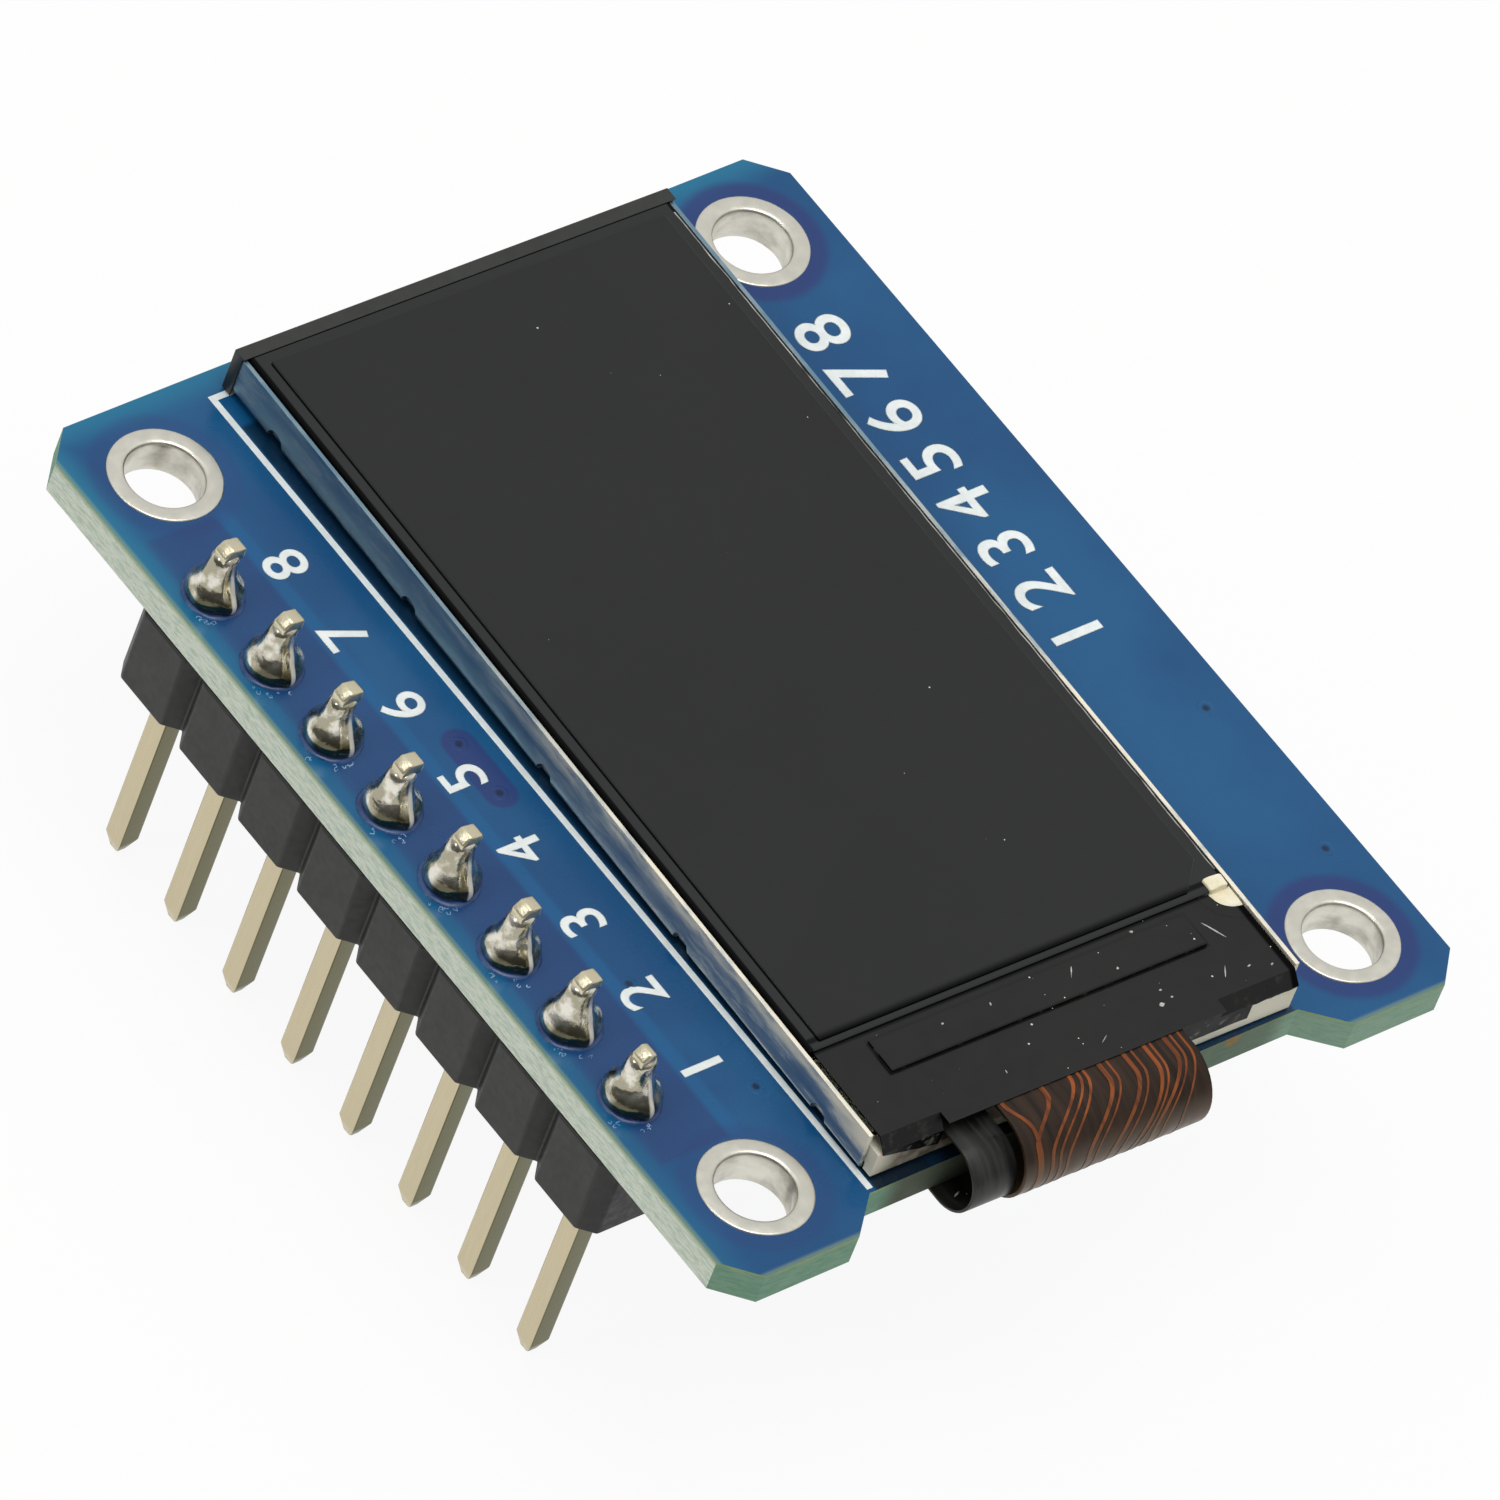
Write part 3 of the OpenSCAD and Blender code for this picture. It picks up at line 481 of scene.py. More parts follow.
# tones of the mask, each laid over those before it
def boardMask(look, place, upper):
    x, y = axes(place)[:2]
    absX, absY = absolute(x), absolute(y)
    mask = blend(rise(grain(place, 0.16, 3.0), 0.35, 0.68), look["mask"], look["maskPale"])
    # copper pour and clear band beside the header
    inRow = times(upTo(absY, look["bandY"], soft=0.1), upper)
    band = times(within(x, *look["bandX"], soft=0.12), inRow)
    mask = blend(times(band, 0.5), mask, look["pinBand"])
    stripe = times(within(x, *look["stripeX"], soft=0.1), inRow)
    mask = blend(times(stripe, 0.7), mask, look["stripe"])
    # clear capsule round two vias
    barX, barLow, barHigh = look["viaBar"]
    alongBar = absolute(minus(y, (barLow + barHigh) / 2))
    pastBar = most(minus(alongBar, (barHigh - barLow) / 2), 0.0)
    bar = fall(farFrom(x, pastBar, (barX, 0.0)), *look["barEdge"], top=0.7)
    mask = blend(times(bar, upper), mask, look["halo"])
    # paler rim where the copper stops short of two edges
    gapX = plus(x, look["half"][0])
    gapY = minus(look["half"][1], y)
    rim = times(fall(least(gapX, gapY), 0.0, look["rimWidth"]), rise(y, *look["rimY"], 0.32, 0.8))
    mask = blend(rim, mask, look["rim"])
    # painted shade beside the tray's wall, and painted shadow behind the notch
    beside = times(within(x, *look["shadeX"], soft=0.08), upTo(y, look["shadeEnd"], soft=0.1, top=0.75))
    mask = blend(times(beside, upper), mask, look["shade"])
    behind = times(within(x, *look["notchX"], soft=0.06), upTo(y, look["notchY"], soft=0.1))
    behind = times(behind, rise(x, 0.0, 5.0, 0.88, 0.74))
    mask = blend(times(behind, upper), mask, look["shade"])
    # darker ring round each mounting hole
    ring = upTo(farFrom(absX, absY, look["holes"]), look["haloEnd"], soft=0.16)
    mask = blend(times(ring, rise(x, -4.0, 4.0, 0.24, 0.66)), mask, look["halo"])
    # thin green line where the mask ends at the cut edge
    toEdge = least(gapX, plus(look["half"][1], y))
    mask = blend(fall(toEdge, *look["lipEdge"], top=0.4), mask, look["lip"])
    for via in look["vias"]:
        mask = blend(fall(farFrom(x, y, via), *look["viaEdge"], top=0.9), mask, look["viaDark"])
    return mask


# the cut edge: creamy along the header side, greener and darker at the ends; the tones are partly the
# laminate's own and partly painted shade on the faces that get less light
def boardEdge(look, place, layers, fine):
    x, y, z = axes(place)
    faceX, faceY = faceAxes()[:2]
    longSide = fall(faceX, -0.98, -0.8)
    streaks = times(rise(layers, 0.36, 0.62), timesPlus(longSide, 0.34, 0.1))
    streaks = plus(streaks, rise(x, 5.0, 7.0, 0.04, 0.14))
    fibre = blend(timesPlus(longSide, 0.5, streaks), look["green"], look["cream"])
    darker = times(rise(layers, 0.56, 0.68), timesPlus(longSide, 0.45, 0.06))
    fibre = blend(darker, fibre, look["fibre"])
    lapped = timesPlus(layers, 0.3, z)
    fibre = blend(rise(lapped, look["top"] - 0.02, look["top"] + 0.14, 0.0, 0.8), fibre, look["lip"])
    # darker faces round the notch: painted shade under the tape and flex, with some dirt
    shadeAndGrime = times(within(x, *look["shadeAndGrimeX"], soft=0.5), fall(faceY, -0.9, -0.6))
    fibre = blend(times(shadeAndGrime, rise(x, -3.0, 4.0, 0.9, 0.6)), fibre, look["shadeAndGrime"])
    # a brown stain on the cut edge, near the flex end
    stainAndShade = fall(farFrom(x, z, look["stainAt"]), *look["stainEdge"], top=1.5)
    stainAndShade = times(stainAndShade, fall(y, *look["stainY"]))
    return blend(times(stainAndShade, fine), fibre, look["stainAndShade"])


def boardFinish(look):
    place = startFinish("boardMask")
    x, y = axes(place)[:2]
    faceZ = faceAxes()[2]
    fine = grain(place, 2.4, 5.0)
    layers = grain(stretched(place, (0.7, 0.7, 4.0)), 3.2, 6.0, 0.7)
    onTop = rise(absolute(faceZ), 0.7, 0.97)
    mask = boardMask(look, place, rise(faceZ, 0.2, 0.6))
    gloss = rise(fine, 0.3, 0.7, *look["rough"])
    # cloth weave under the mask, and the rougher edge
    pitch = 2 * math.pi / look["weavePitch"]
    weave = times(maths("SINE", times(x, pitch)), maths("SINE", times(y, pitch)))
    height = timesPlus(weave, 0.04, times(fine, 0.3))
    cut = times(minus(1.0, onTop), layers)
    endFinish(timesPlus(cut, 1.2, height), look["depth"],
              Base_Color=blend(onTop, boardEdge(look, place, layers, fine), mask),
              Specular_IOR_Level=look["gloss"],
              Roughness=timesPlus(onTop, -0.5, plus(gloss, 0.5)))


# metal that is bright low down and dull and lumpy above a height; on the pins, painted shade on the faces
# towards the flex end
climbLooks = {
    "solderMetal": {
        "low": (208, 206, 196), "high": (220, 214, 196), "change": (2.05, 2.55),
        "rough": (0.1, 0.36), "perMm": 2.2, "depth": 0.03,
    },
    "pinMetal": {
        "low": (206, 194, 162), "high": (226, 218, 188), "change": (1.45, 2.15),
        "rough": (0.24, 0.3), "perMm": 2.6, "depth": 0.03, "front": (102, 100, 70),
    },
}


def climbFinish(name, low, high, change, rough, perMm, depth, front=None, streak=(120, 112, 92)):
    place = startFinish(name)
    lumps = grain(place, perMm, 4.0)
    streaks = grain(stretched(place, (3.0, 3.0, 0.25)), perMm * 2.0, 3.0)
    dull = rise(timesPlus(lumps, 0.5, axes(place)[2]), *change)
    # painted shade: a darker tone on the faces towards the flex end
    if front:
        low = blend(facingFront(), low, front)
    level = timesPlus(dull, rough[1] - rough[0], rough[0])
    endFinish(times(lumps, plus(dull, 0.15)), depth,
              Base_Color=blend(times(streaks, 0.16), blend(dull, low, high), streak),
              Metallic=1.0, Roughness=timesPlus(streaks, 0.08, level))


steelLook = {
    "far": (124, 154, 170), "dark": (176, 187, 195), "farY": (-5.0, 2.0), "topHighlightY": (-5.0, 8.0),
    "topHighlightZ": (1.75, 2.2), "pale": (236, 234, 224), "end": (248, 240, 218), "dents": 0.7, "mottle": 2.0,
    "dentDepth": 0.06, "rough": (0.3, 0.55), "worn": (-12.5, 3.0), "endY": (-13.2, -11.2),
    "endZ": (1.5, 1.95),
}


def steelFinish(look):
    place = startFinish("traySteel")
    y, z = axes(place)[1:]
    dents = grain(place, look["dents"], 2.0, 0.4)
    mottle = grain(stretched(place, (1.0, 0.35, 2.0)), look["mottle"], 5.0, 0.7)
    # worn in pale streaks towards the flex end
    flecks = times(rise(mottle, 0.5, 0.62), rise(y, *look["worn"], 1.0, 0.15))
    # bluer towards the far end: painted reflection of the board
    body = blend(rise(y, *look["farY"]), look["dark"], look["far"])
    body = blend(flecks, body, look["pale"])
    # painted highlight in patches along the top of the wall towards the flex end, and a stronger painted
    # highlight, pale and dull, at its corner
    topHighlight = times(fall(y, *look["topHighlightY"], top=0.95), rise(z, *look["topHighlightZ"]))
    topHighlight = times(topHighlight, rise(mottle, 0.32, 0.56, 0.3, 1.0))
    corner = most(times(fall(y, *look["endY"]), rise(z, *look["endZ"])), topHighlight)
    endFinish(timesPlus(mottle, 0.08, dents), look["dentDepth"],
              Base_Color=blend(corner, body, look["end"]), Metallic=timesPlus(corner, -0.8, 1.0),
              Roughness=rise(mottle, 0.3, 0.7, *look["rough"]))


# the raised chip under the tape and its groove, with a grey for painted glints on the tape's crumpled sides
chipCrease = {
    "middle": (-0.1, -11.69), "half": (5.1, 0.53), "wide": 0.05, "deep": 2.5, "margin": (6.44, 6.54),
    "fade": (-11.9, -11.4), "crumpleGlint": (116, 114, 108),
}
# the band of painted shade at a film's near edge runs along the display's width, from full at its first
# place to none at its second
filmLooks = {
    "screenFilm": {
        "base": (4, 6, 5), "pale": (8, 10, 9), "sides": (62, 64, 62),
        "rough": (0.12, 0.2), "mottle": 3.0, "depth": 0.0006, "dustShare": 0.006, "gloss": 0.48,
        "band": (-10.64, -10.42), "crease": None,
    },
    "blackTape": {
        "base": (9, 10, 9), "pale": (14, 15, 13), "sides": (7, 7, 6),
        "rough": (0.3, 0.44), "mottle": 2.0, "depth": 0.006, "dustShare": 0.12, "gloss": 0.36,
        "band": (-10.89, -11.0), "crease": chipCrease,
    },
}


# how far a point lies outside the outline of the raised chip under the tape, in mm
def pastChip(across, along, look):
    overX = absolute(minus(across, look["middle"][0]))
    overY = absolute(minus(along, look["middle"][1]))
    return most(minus(overX, look["half"][0]), minus(overY, look["half"][1]))


def filmFinish(name, look, black=(2, 2, 2), dustTone=(224, 224, 216)):
    place = startFinish(name)
    across, along = panelAxes(place)[:2]
    fine = grain(place, look["mottle"], 4.0)
    height = fine
    dust = most(specks(place, 0.9, look["dustShare"], 0.07), specks(place, 2.3, look["dustShare"], 0.03))
    onSide = fall(faceAxes()[2], 0.3, 0.8)
    body = blend(rise(grain(place, 0.25, 3.0), 0.35, 0.65), look["base"], look["pale"])
    body = blend(times(onSide, 0.8), body, look["sides"])
    # painted shade, with less gloss, along the band at the step of the film's near edge
    shadeShare = fall(along, *look["band"], top=0.75)
    crease = look["crease"]
    if crease:
        # on the tape, painted shade also in the gap at its side margin and on its sides
        shadeShare = most(shadeShare, rise(across, *crease["margin"], 0.0, 0.9))
        shadeShare = most(shadeShare, times(onSide, 0.8))
        wide = crease["wide"]
        # painted shade in the groove round the raised chip
        groove = within(pastChip(across, along, crease), -wide, wide, soft=wide)
        groove = times(groove, rise(along, *crease["fade"], 1.0, 0.3))
        shadeShare = most(shadeShare, times(groove, 0.5))
        height = timesPlus(groove, -crease["deep"], fine)
    body = blend(shadeShare, body, black)
    if crease:
        # painted glints: grey flecks on the tape's crumpled sides
        crumpleGlints = rise(grain(place, 3.4, 4.0, 0.6), 0.54, 0.68, 0.0, 0.6)
        body = blend(times(crumpleGlints, onSide), body, crease["crumpleGlint"])
    haze = rise(fine, 0.3, 0.7, *look["rough"])
    endFinish(height, look["depth"], Base_Color=blend(times(dust, 0.85), body, dustTone),
              Roughness=most(haze, times(dust, 0.8)),
              Specular_IOR_Level=timesPlus(shadeShare, -look["gloss"], look["gloss"]))


# dark glass whose outer margin is black, with a band of painted shade beside the ledge
darkGlassLook = {
    "body": (16, 18, 19), "margin": (2, 2, 2), "marginX": (6.61, 6.67), "bandY": -10.56,
    "bandEdge": (0.04, 0.12), "rough": (0.05, 0.09), "depth": 0.0005,
}


def darkGlassFinish(look):
    place = startFinish("darkGlass")
    across, along = panelAxes(place)[:2]
    haze = grain(place, 0.6, 3.0)
    fromBand = absolute(minus(along, look["bandY"]))
    outside = most(rise(absolute(across), *look["marginX"]), fall(fromBand, *look["bandEdge"], top=0.85))
    endFinish(haze, look["depth"], Base_Color=blend(outside, look["body"], look["margin"]),
              Roughness=rise(haze, 0.3, 0.7, *look["rough"]),
              Specular_IOR_Level=timesPlus(outside, -0.42, 0.5))


# tinned eyelet, darker in streaks inside its bore
eyeletLook = {
    "pale": (214, 211, 198), "bright": (230, 227, 216), "boreDark": (122, 118, 108), "bore": (1.07, 1.11),
    "rough": (0.28, 0.44), "depth": 0.006,
}


def eyeletFinish(look):
    place = startFinish("eyeletTin")
    x, y = axes(place)[:2]
    fine = grain(place, 3.0, 5.0)
    inside = fall(farFrom(absolute(x), absolute(y), boardLook["holes"]), *look["bore"])
    streaks = grain(stretched(place, (1.0, 1.0, 1.6)), 0.9, 5.0, 0.6)
    dark = times(inside, rise(streaks, 0.35, 0.8, 0.0, 0.7))
    endFinish(fine, look["depth"],
              Base_Color=blend(dark, blend(fine, look["pale"], look["bright"]), look["boreDark"]),
              Roughness=rise(fine, 0.25, 0.75, *look["rough"]), Metallic=1.0)


# solder of a header joint, with a painted dark reflection low down on its side towards the flex end, and a
# painted highlight down its ridge
jointLook = {
    "bright": (232, 228, 216), "mid": (168, 163, 142), "darkReflection": (100, 97, 78), "rowX": -10.8,
    "pinY": -8.89, "pitch": 2.54, "darkReflectionTowards": (-0.57, -0.82), "darkReflectionAt": (0.44, 0.62),
    "darkReflectionTop": (1.4, 1.85), "ridgeX": (-0.1, 0.04), "ridgeY": (-0.45, -0.3), "rough": (0.1, 0.24),
    "depth": 0.02,
}


def jointFinish(look):
    place = startFinish("jointSolder")
    x, y, z = axes(place)
    lumps = grain(place, 2.4, 4.0)
    half = look["pitch"] / 2
    across = minus(x, look["rowX"])
    along = maths("WRAP", minus(y, look["pinY"]), half, -half)
    front = timesPlus(across, look["darkReflectionTowards"][0], times(along, look["darkReflectionTowards"][1]))
    front = timesPlus(minus(lumps, 0.5), 0.3, front)
    # painted dark reflection low down on the side towards the flex end
    darkReflection = times(rise(front, *look["darkReflectionAt"]), fall(z, *look["darkReflectionTop"]))
    # painted highlight down the ridge, pale and less metallic
    ridgeHighlight = times(within(across, *look["ridgeX"], soft=0.03), fall(along, *look["ridgeY"]))
    body = blend(rise(lumps, 0.4, 0.62), look["mid"], look["bright"])
    body = blend(darkReflection, body, look["darkReflection"])
    endFinish(lumps, look["depth"], Base_Color=blend(ridgeHighlight, body, look["bright"]),
              Metallic=timesPlus(ridgeHighlight, -0.75, 1.0),
              Roughness=rise(lumps, 0.3, 0.7, *look["rough"]))


# pale frame, browned beside the lamp's tail: painted shadow of the tape over it, with some dirt
frameLook = {
    "pale": (222, 218, 198), "shadeBrown": (80, 68, 52), "shadeBrownX": (-6.3, -3.0), "rough": (0.4, 0.55),
    "depth": 0.004,
}


def frameFinish(look):
    place = startFinish("framePlastic")
    fine = grain(place, 2.0, 5.0)
    # painted shadow, mottled, with some dirt, beside the lamp's tail
    stainAndShade = times(within(axes(place)[0], *look["shadeBrownX"], soft=0.5), rise(fine, 0.3, 0.6, 0.6, 0.95))
    endFinish(fine, look["depth"], Base_Color=blend(stainAndShade, look["pale"], look["shadeBrown"]),
              Subsurface_Weight=0.15, Subsurface_Scale=0.5 * mm,
              Roughness=rise(fine, 0.25, 0.75, *look["rough"]))


# clear sheets: colour, roughness and index of refraction
clearLooks = {
    "panelGlass": ((226, 240, 232), 0.02, 1.5),
    "guideAcrylic": ((244, 246, 248), 0.05, 1.49),
    "prismFilm": ((246, 248, 250), 0.15, 1.55),
}


def clearFinish(name, colour, rough, ior):
    place = startFinish(name)
    haze = grain(place, 1.2, 3.0)
    endFinish(Base_Color=blend(haze, colour, (255, 255, 255)), Transmission_Weight=1.0, IOR=ior,
              Roughness=rise(haze, 0.3, 0.7, rough * 0.6, rough * 1.4))


# the flex and its copper: two tones along the tracks, which pale to a third one down the fold as a painted
# sheen
flexLooks = {
    "flexFilm": {
        "base": (30, 20, 13), "pale": (54, 37, 25), "low": (92, 74, 56),
        "sheenZ": (0.7, 2.1), "grain": 1.6, "gloss": 0.22, "depth": 0.004,
    },
    "copperRun": {
        "base": (92, 46, 18), "pale": (158, 82, 32), "low": (104, 76, 50),
        "sheenZ": (1.0, 2.35), "grain": 1.2, "gloss": 0.25, "depth": 0.002,
    },
}


def flexFinish(name, look):
    place = startFinish(name)
    along = grain(stretched(place, (3.0, 0.25, 0.25)), look["grain"], 4.0)
    body = blend(rise(along, 0.3, 0.7), look["base"], look["pale"])
    # painted sheen: a third tone low down the fold
    endFinish(along, look["depth"],
              Base_Color=blend(rise(axes(place)[2], *look["sheenZ"]), look["low"], body),
              Roughness=rise(along, 0.3, 0.7, 0.3, 0.46), Specular_IOR_Level=look["gloss"])


boardFinish(boardLook)
steelFinish(steelLook)
jointFinish(jointLook)
eyeletFinish(eyeletLook)
frameFinish(frameLook)
darkGlassFinish(darkGlassLook)
for name, look in climbLooks.items():
    climbFinish(name, **look)
for name, look in filmLooks.items():
    filmFinish(name, look)
for name, look in clearLooks.items():
    clearFinish(name, *look)
for name, look in flexLooks.items():
    flexFinish(name, look)
print("finishes made:", len(finishes))


viewSet = {
    "place": (-0.32695954, -0.23901146, 0.42230974), "turn": (41.56087879, -15.17215299, -37.43183218),
    "lens": 559.9156, "sensor": 36.0, "near": 0.05, "far": 4.0,
}

camera = addShape(bpy.ops.object.camera_add, "productCamera", location=viewSet["place"],
                  rotation=[math.radians(a) for a in viewSet["turn"]])
setAll(camera.data, lens=viewSet["lens"], sensor_width=viewSet["sensor"], clip_start=viewSet["near"],
       clip_end=viewSet["far"])
bpy.context.scene.camera = camera
bpy.context.scene.view_settings.view_transform = "Standard"

# the room is pale behind and above, and darker on the side of the camera
stageSet = {
    "floorSize": 0.36, "floorTone": (238, 238, 236), "floorShare": 0.92, "floorGap": 0.00001,
    "sky": 0.74, "skyDark": 0.17, "paleTowards": (0.56, 0.41, 0.72), "darkAt": -0.35, "paleAt": 0.5,
}


def floorFinish(look):
    finish = bpy.data.materials.new("paleFloor")
    startTree(finish)
    matt = addNode("BsdfDiffuse")
    feed(matt.inputs["Color"], tone(*look["floorTone"]))
    rays = addNode("LightPath").outputs
    seen = most(most(rays["Is Camera Ray"], rays["Is Transmission Ray"]), rays["Is Glossy Ray"])
    mixer = addNode("MixShader")
    feed(mixer.inputs[0], times(seen, look["floorShare"]))
    feed(mixer.inputs[1], matt.outputs[0])
    feed(mixer.inputs[2], addNode("Emission").outputs[0])
    feed(addNode("OutputMaterial").inputs["Surface"], mixer.outputs[0])
    return finish


floor = addShape(bpy.ops.mesh.primitive_plane_add, "paleFloor", size=stageSet["floorSize"],
                 location=(0, 0, cadBox[0].z - stageSet["floorGap"]))
applyPlace(floor)
floor.data.materials.append(floorFinish(stageSet))


def skyLight(look):
    world = bpy.data.worlds.new("softRoom")
    bpy.context.scene.world = world
    startTree(world)
    dot = addNode("VectorMath", operation="DOT_PRODUCT")
    feed(dot.inputs[0], addNode("TexCoord").outputs["Generated"])
    feed(dot.inputs[1], Vector(look["paleTowards"]).normalized())
    level = rise(dot.outputs["Value"], look["darkAt"], look["paleAt"], look["skyDark"], look["sky"])
    rays = addNode("LightPath").outputs
    seen = most(rays["Is Camera Ray"], rays["Is Transmission Ray"])
    back = addNode("Background")
    feedAll(back, Color=(1, 1, 1, 1), Strength=most(level, seen))
    feed(addNode("OutputWorld").inputs["Surface"], back.outputs[0])


skyLight(stageSet)

lampSet = {
    "keyLight": {"place": (-0.03, -0.04, 0.44), "size": 0.25, "power": 0.75},
    "leftCard": {"place": (-0.34, 0.10, 0.28), "size": 0.10, "power": 0.18},
}
for lampName, look in lampSet.items():
    lamp = addShape(bpy.ops.object.light_add, lampName, type="AREA", location=look["place"])
    setAll(lamp.data, energy=look["power"], size=look["size"])
    lamp.rotation_euler = (-Vector(look["place"])).to_track_quat("-Z", "Y").to_euler()
print("camera, floor and light set")


# widths of the softened edges, in mm
edgeSet = {
    "board": 0.05, "strip": 0.07, "pin": 0.06, "tray": 0.03, "frame": 0.04, "glass": 0.02,
    "glassTop": 0.07, "screen": 0.06, "endTape": 0.015, "part": 0.04, "lead": 0.03, "flex": 0.012,
}

settle(softCopy("circuit_board", "boardBlank", edgeSet["board"]), "boardMask", "board", "circuit_board")
strip = softCopy("header_strip", "headerStrip", edgeSet["strip"], 3)
settle(strip, "headerPlastic", "header_plastic", "header_strip")
for i in range(1, pinCount + 1):
    pin = softCopy("header_pin_%d" % i, "headerPin%d" % i, edgeSet["pin"], 2, 25)
    settle(pin, "pinMetal", "pin_metal", "header_pin_%d" % i)
print("board and header dressed")


# eyelets drawn as one section: radius and height
eyeletSet = {
    "sides": 72, "holes": boardLook["holes"], "lumps": (0.006, 2.0, 3),
    "section": [
        (1.53, 0.0), (1.52, -0.03), (1.48, -0.04), (1.18, -0.04), (1.11, -0.03), (1.075, -0.005),
        (1.055, 0.05), (1.05, 0.15), (1.05, 0.85), (1.055, 0.95), (1.075, 1.005), (1.11, 1.03),
        (1.18, 1.04), (1.48, 1.04), (1.52, 1.03), (1.53, 1.0),
    ],
}


def holeEyelets(look):
    rings = []
    for sideX in (-1, 1):
        for sideY in (-1, 1):
            at = Vector((sideX * look["holes"][0], sideY * look["holes"][1], 0)) * mm
            rings.append(ringStack("holeEyelet", look["sides"], at, look["section"]))
    eyelets = joinAll(rings, "holeEyelets")
    turnFaces(eyelets, inside=True)
    smoothOff(eyelets)
    roughen(eyelets, *look["lumps"])
    return eyelets


settle(holeEyelets(eyeletSet), "eyeletTin", "tinned", "hole_plating")


# radius, height over the pad and lean to the nipped side of the pin
solderSet = {
    "sides": 32, "base": 1.02, "lumps": (0.035, 1.3), "seed": 4, "pinSide": 0.64,
    "spread": (0.96, 1.03),
    "rings": [
        (0.73, 0.0, 0.0), (0.78, 0.07, 0.0), (0.8, 0.19, 0.0), (0.785, 0.32, -0.005),
        (0.715, 0.46, -0.02), (0.615, 0.6, -0.045), (0.525, 0.75, -0.07), (0.455, 0.92, -0.1),
        (0.41, 1.08, -0.11), (0.385, 1.22, -0.11), (0.365, 1.36, -0.09), (0.345, 1.47, -0.06),
        (0.29, 1.56, -0.03), (0.16, 1.6, -0.02),
    ],
    "footZ": 0.05, "ridgeTurn": 267, "ridgeSpread": 9, "ridgeOut": 0.07, "ridgeTop": 1.0,
}
fluxSet = {
    "sides": 28, "base": 1.0, "lumps": (0.06, 1.1), "seed": 11, "shift": (-0.03, -0.02),
    "rings": [(0.86, 0.0), (0.85, 0.015), (0.82, 0.04), (0.76, 0.06), (0.66, 0.06)],
}
crustSet = {
    "sides": 14, "count": 7, "base": 1.0, "thick": 0.012, "size": (0.05, 0.11), "reach": (0.92, 1.12),
    "seed": 21, "turn": (195, 265), "squash": (0.35, 0.9), "line": 0.024, "edge": 0.04, "rough": 0.5,
    "perMm": 9.0, "cutAt": 0.3,
}


# a run of solder drawn out down one side of the bell
def raiseRidge(joint, middle, look):
    for point in joint.data.vertices:
        out = point.co - middle
        angle = math.degrees(math.atan2(out.y, out.x)) % 360 - look["ridgeTurn"]
        if abs(angle) < look["ridgeSpread"] and out.z < look["ridgeTop"] * mm:
            out.z = 0.0
            point.co += out.normalized() * look["ridgeOut"] * mm


def solderBell(i, middle, look):
    random.seed(look["seed"] + i)
    wide = random.uniform(*look["spread"])
    tall = random.uniform(*look["spread"])
    rings = [(radius * wide, height * tall, lean) for radius, height, lean in look["rings"]]
    joint = ringStack("solderJoint%d" % i, look["sides"], middle, rings, closeTop=True)
    roughen(joint, *look["lumps"], look["seed"] + i)
    raiseRidge(joint, middle, look)
    openEdit(joint)
    chooseEdges(joint, lambda a, b: max(a.z, b.z) < middle.z + look["footZ"] * mm)
    bpy.ops.mesh.edge_face_add()
    faceOutwards()
    closeEdit()
    subdivide(joint, 2)
    smoothOff(joint)
    return joint


def fluxSkirt(i, middle, look):
    at = Vector((middle.x + look["shift"][0] * mm, middle.y + look["shift"][1] * mm, look["base"] * mm))
    skirt = ringStack("fluxSkirt%d" % i, look["sides"], at, look["rings"])
    roughen(skirt, *look["lumps"], look["seed"] + i, flat=True)
    turnFaces(skirt)
    subdivide(skirt, 1)
    smoothOff(skirt)
    return skirt


# dried flux in small broken rings on the outer side of a joint
def fluxFlakes(i, middle, look):
    random.seed(look["seed"] + i)
    flakes = []
    for k in range(look["count"]):
        angle = math.radians(random.uniform(*look["turn"]))
        reach = random.uniform(*look["reach"]) * mm
        size = random.uniform(*look["size"])
        inner = size - look["line"]
        rings = [(size, 0.0), (size * (1 - look["edge"]), look["thick"]),
                 (inner * (1 + look["edge"]), look["thick"]), (inner, 0.0)]
        flake = ringStack("fluxFlake", look["sides"], origin, rings)
        roughen(flake, size * look["rough"], look["perMm"], look["seed"] + i + k, flat=True)
        openEdit(flake)
        choosePoints(flake, lambda point: point.x > size * look["cutAt"] * mm)
        bpy.ops.mesh.delete(type="VERT")
        faceOutwards()
        closeEdit()
        flake.scale.y = random.uniform(*look["squash"])
        flake.rotation_euler.z = random.uniform(0, 2 * math.pi)
        flake.location = (middle.x + math.cos(angle) * reach, middle.y + math.sin(angle) * reach,
                          look["base"] * mm)
        applyPlace(flake)
        flakes.append(flake)
    return joinAll(flakes, "fluxFlakes%d" % i)


for i in range(1, pinCount + 1):
    low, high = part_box("header_pin_%d" % i)
    middle = Vector((low.x + solderSet["pinSide"] / 2 * mm, (low.y + high.y) / 2, solderSet["base"] * mm))
    settle(solderBell(i, middle, solderSet), "jointSolder", "solder", "solder_joint_%d" % i)
    settle(fluxSkirt(i, middle, fluxSet), "fluxSkin", "solder")
    settle(fluxFlakes(i, middle, crustSet), "fluxCrust", "solder")
print("eyelets and solder joints shaped")


# a covered via: a low ring with a dimple, on both faces of the board
viaSet = {
    "sides": 24, "levels": ((1, 1.0), (-1, 0.0)), "places": boardLook["vias"],
    "rings": [(0.24, 0.0), (0.21, 0.008), (0.17, 0.012), (0.12, 0.01), (0.08, 0.002)],
}


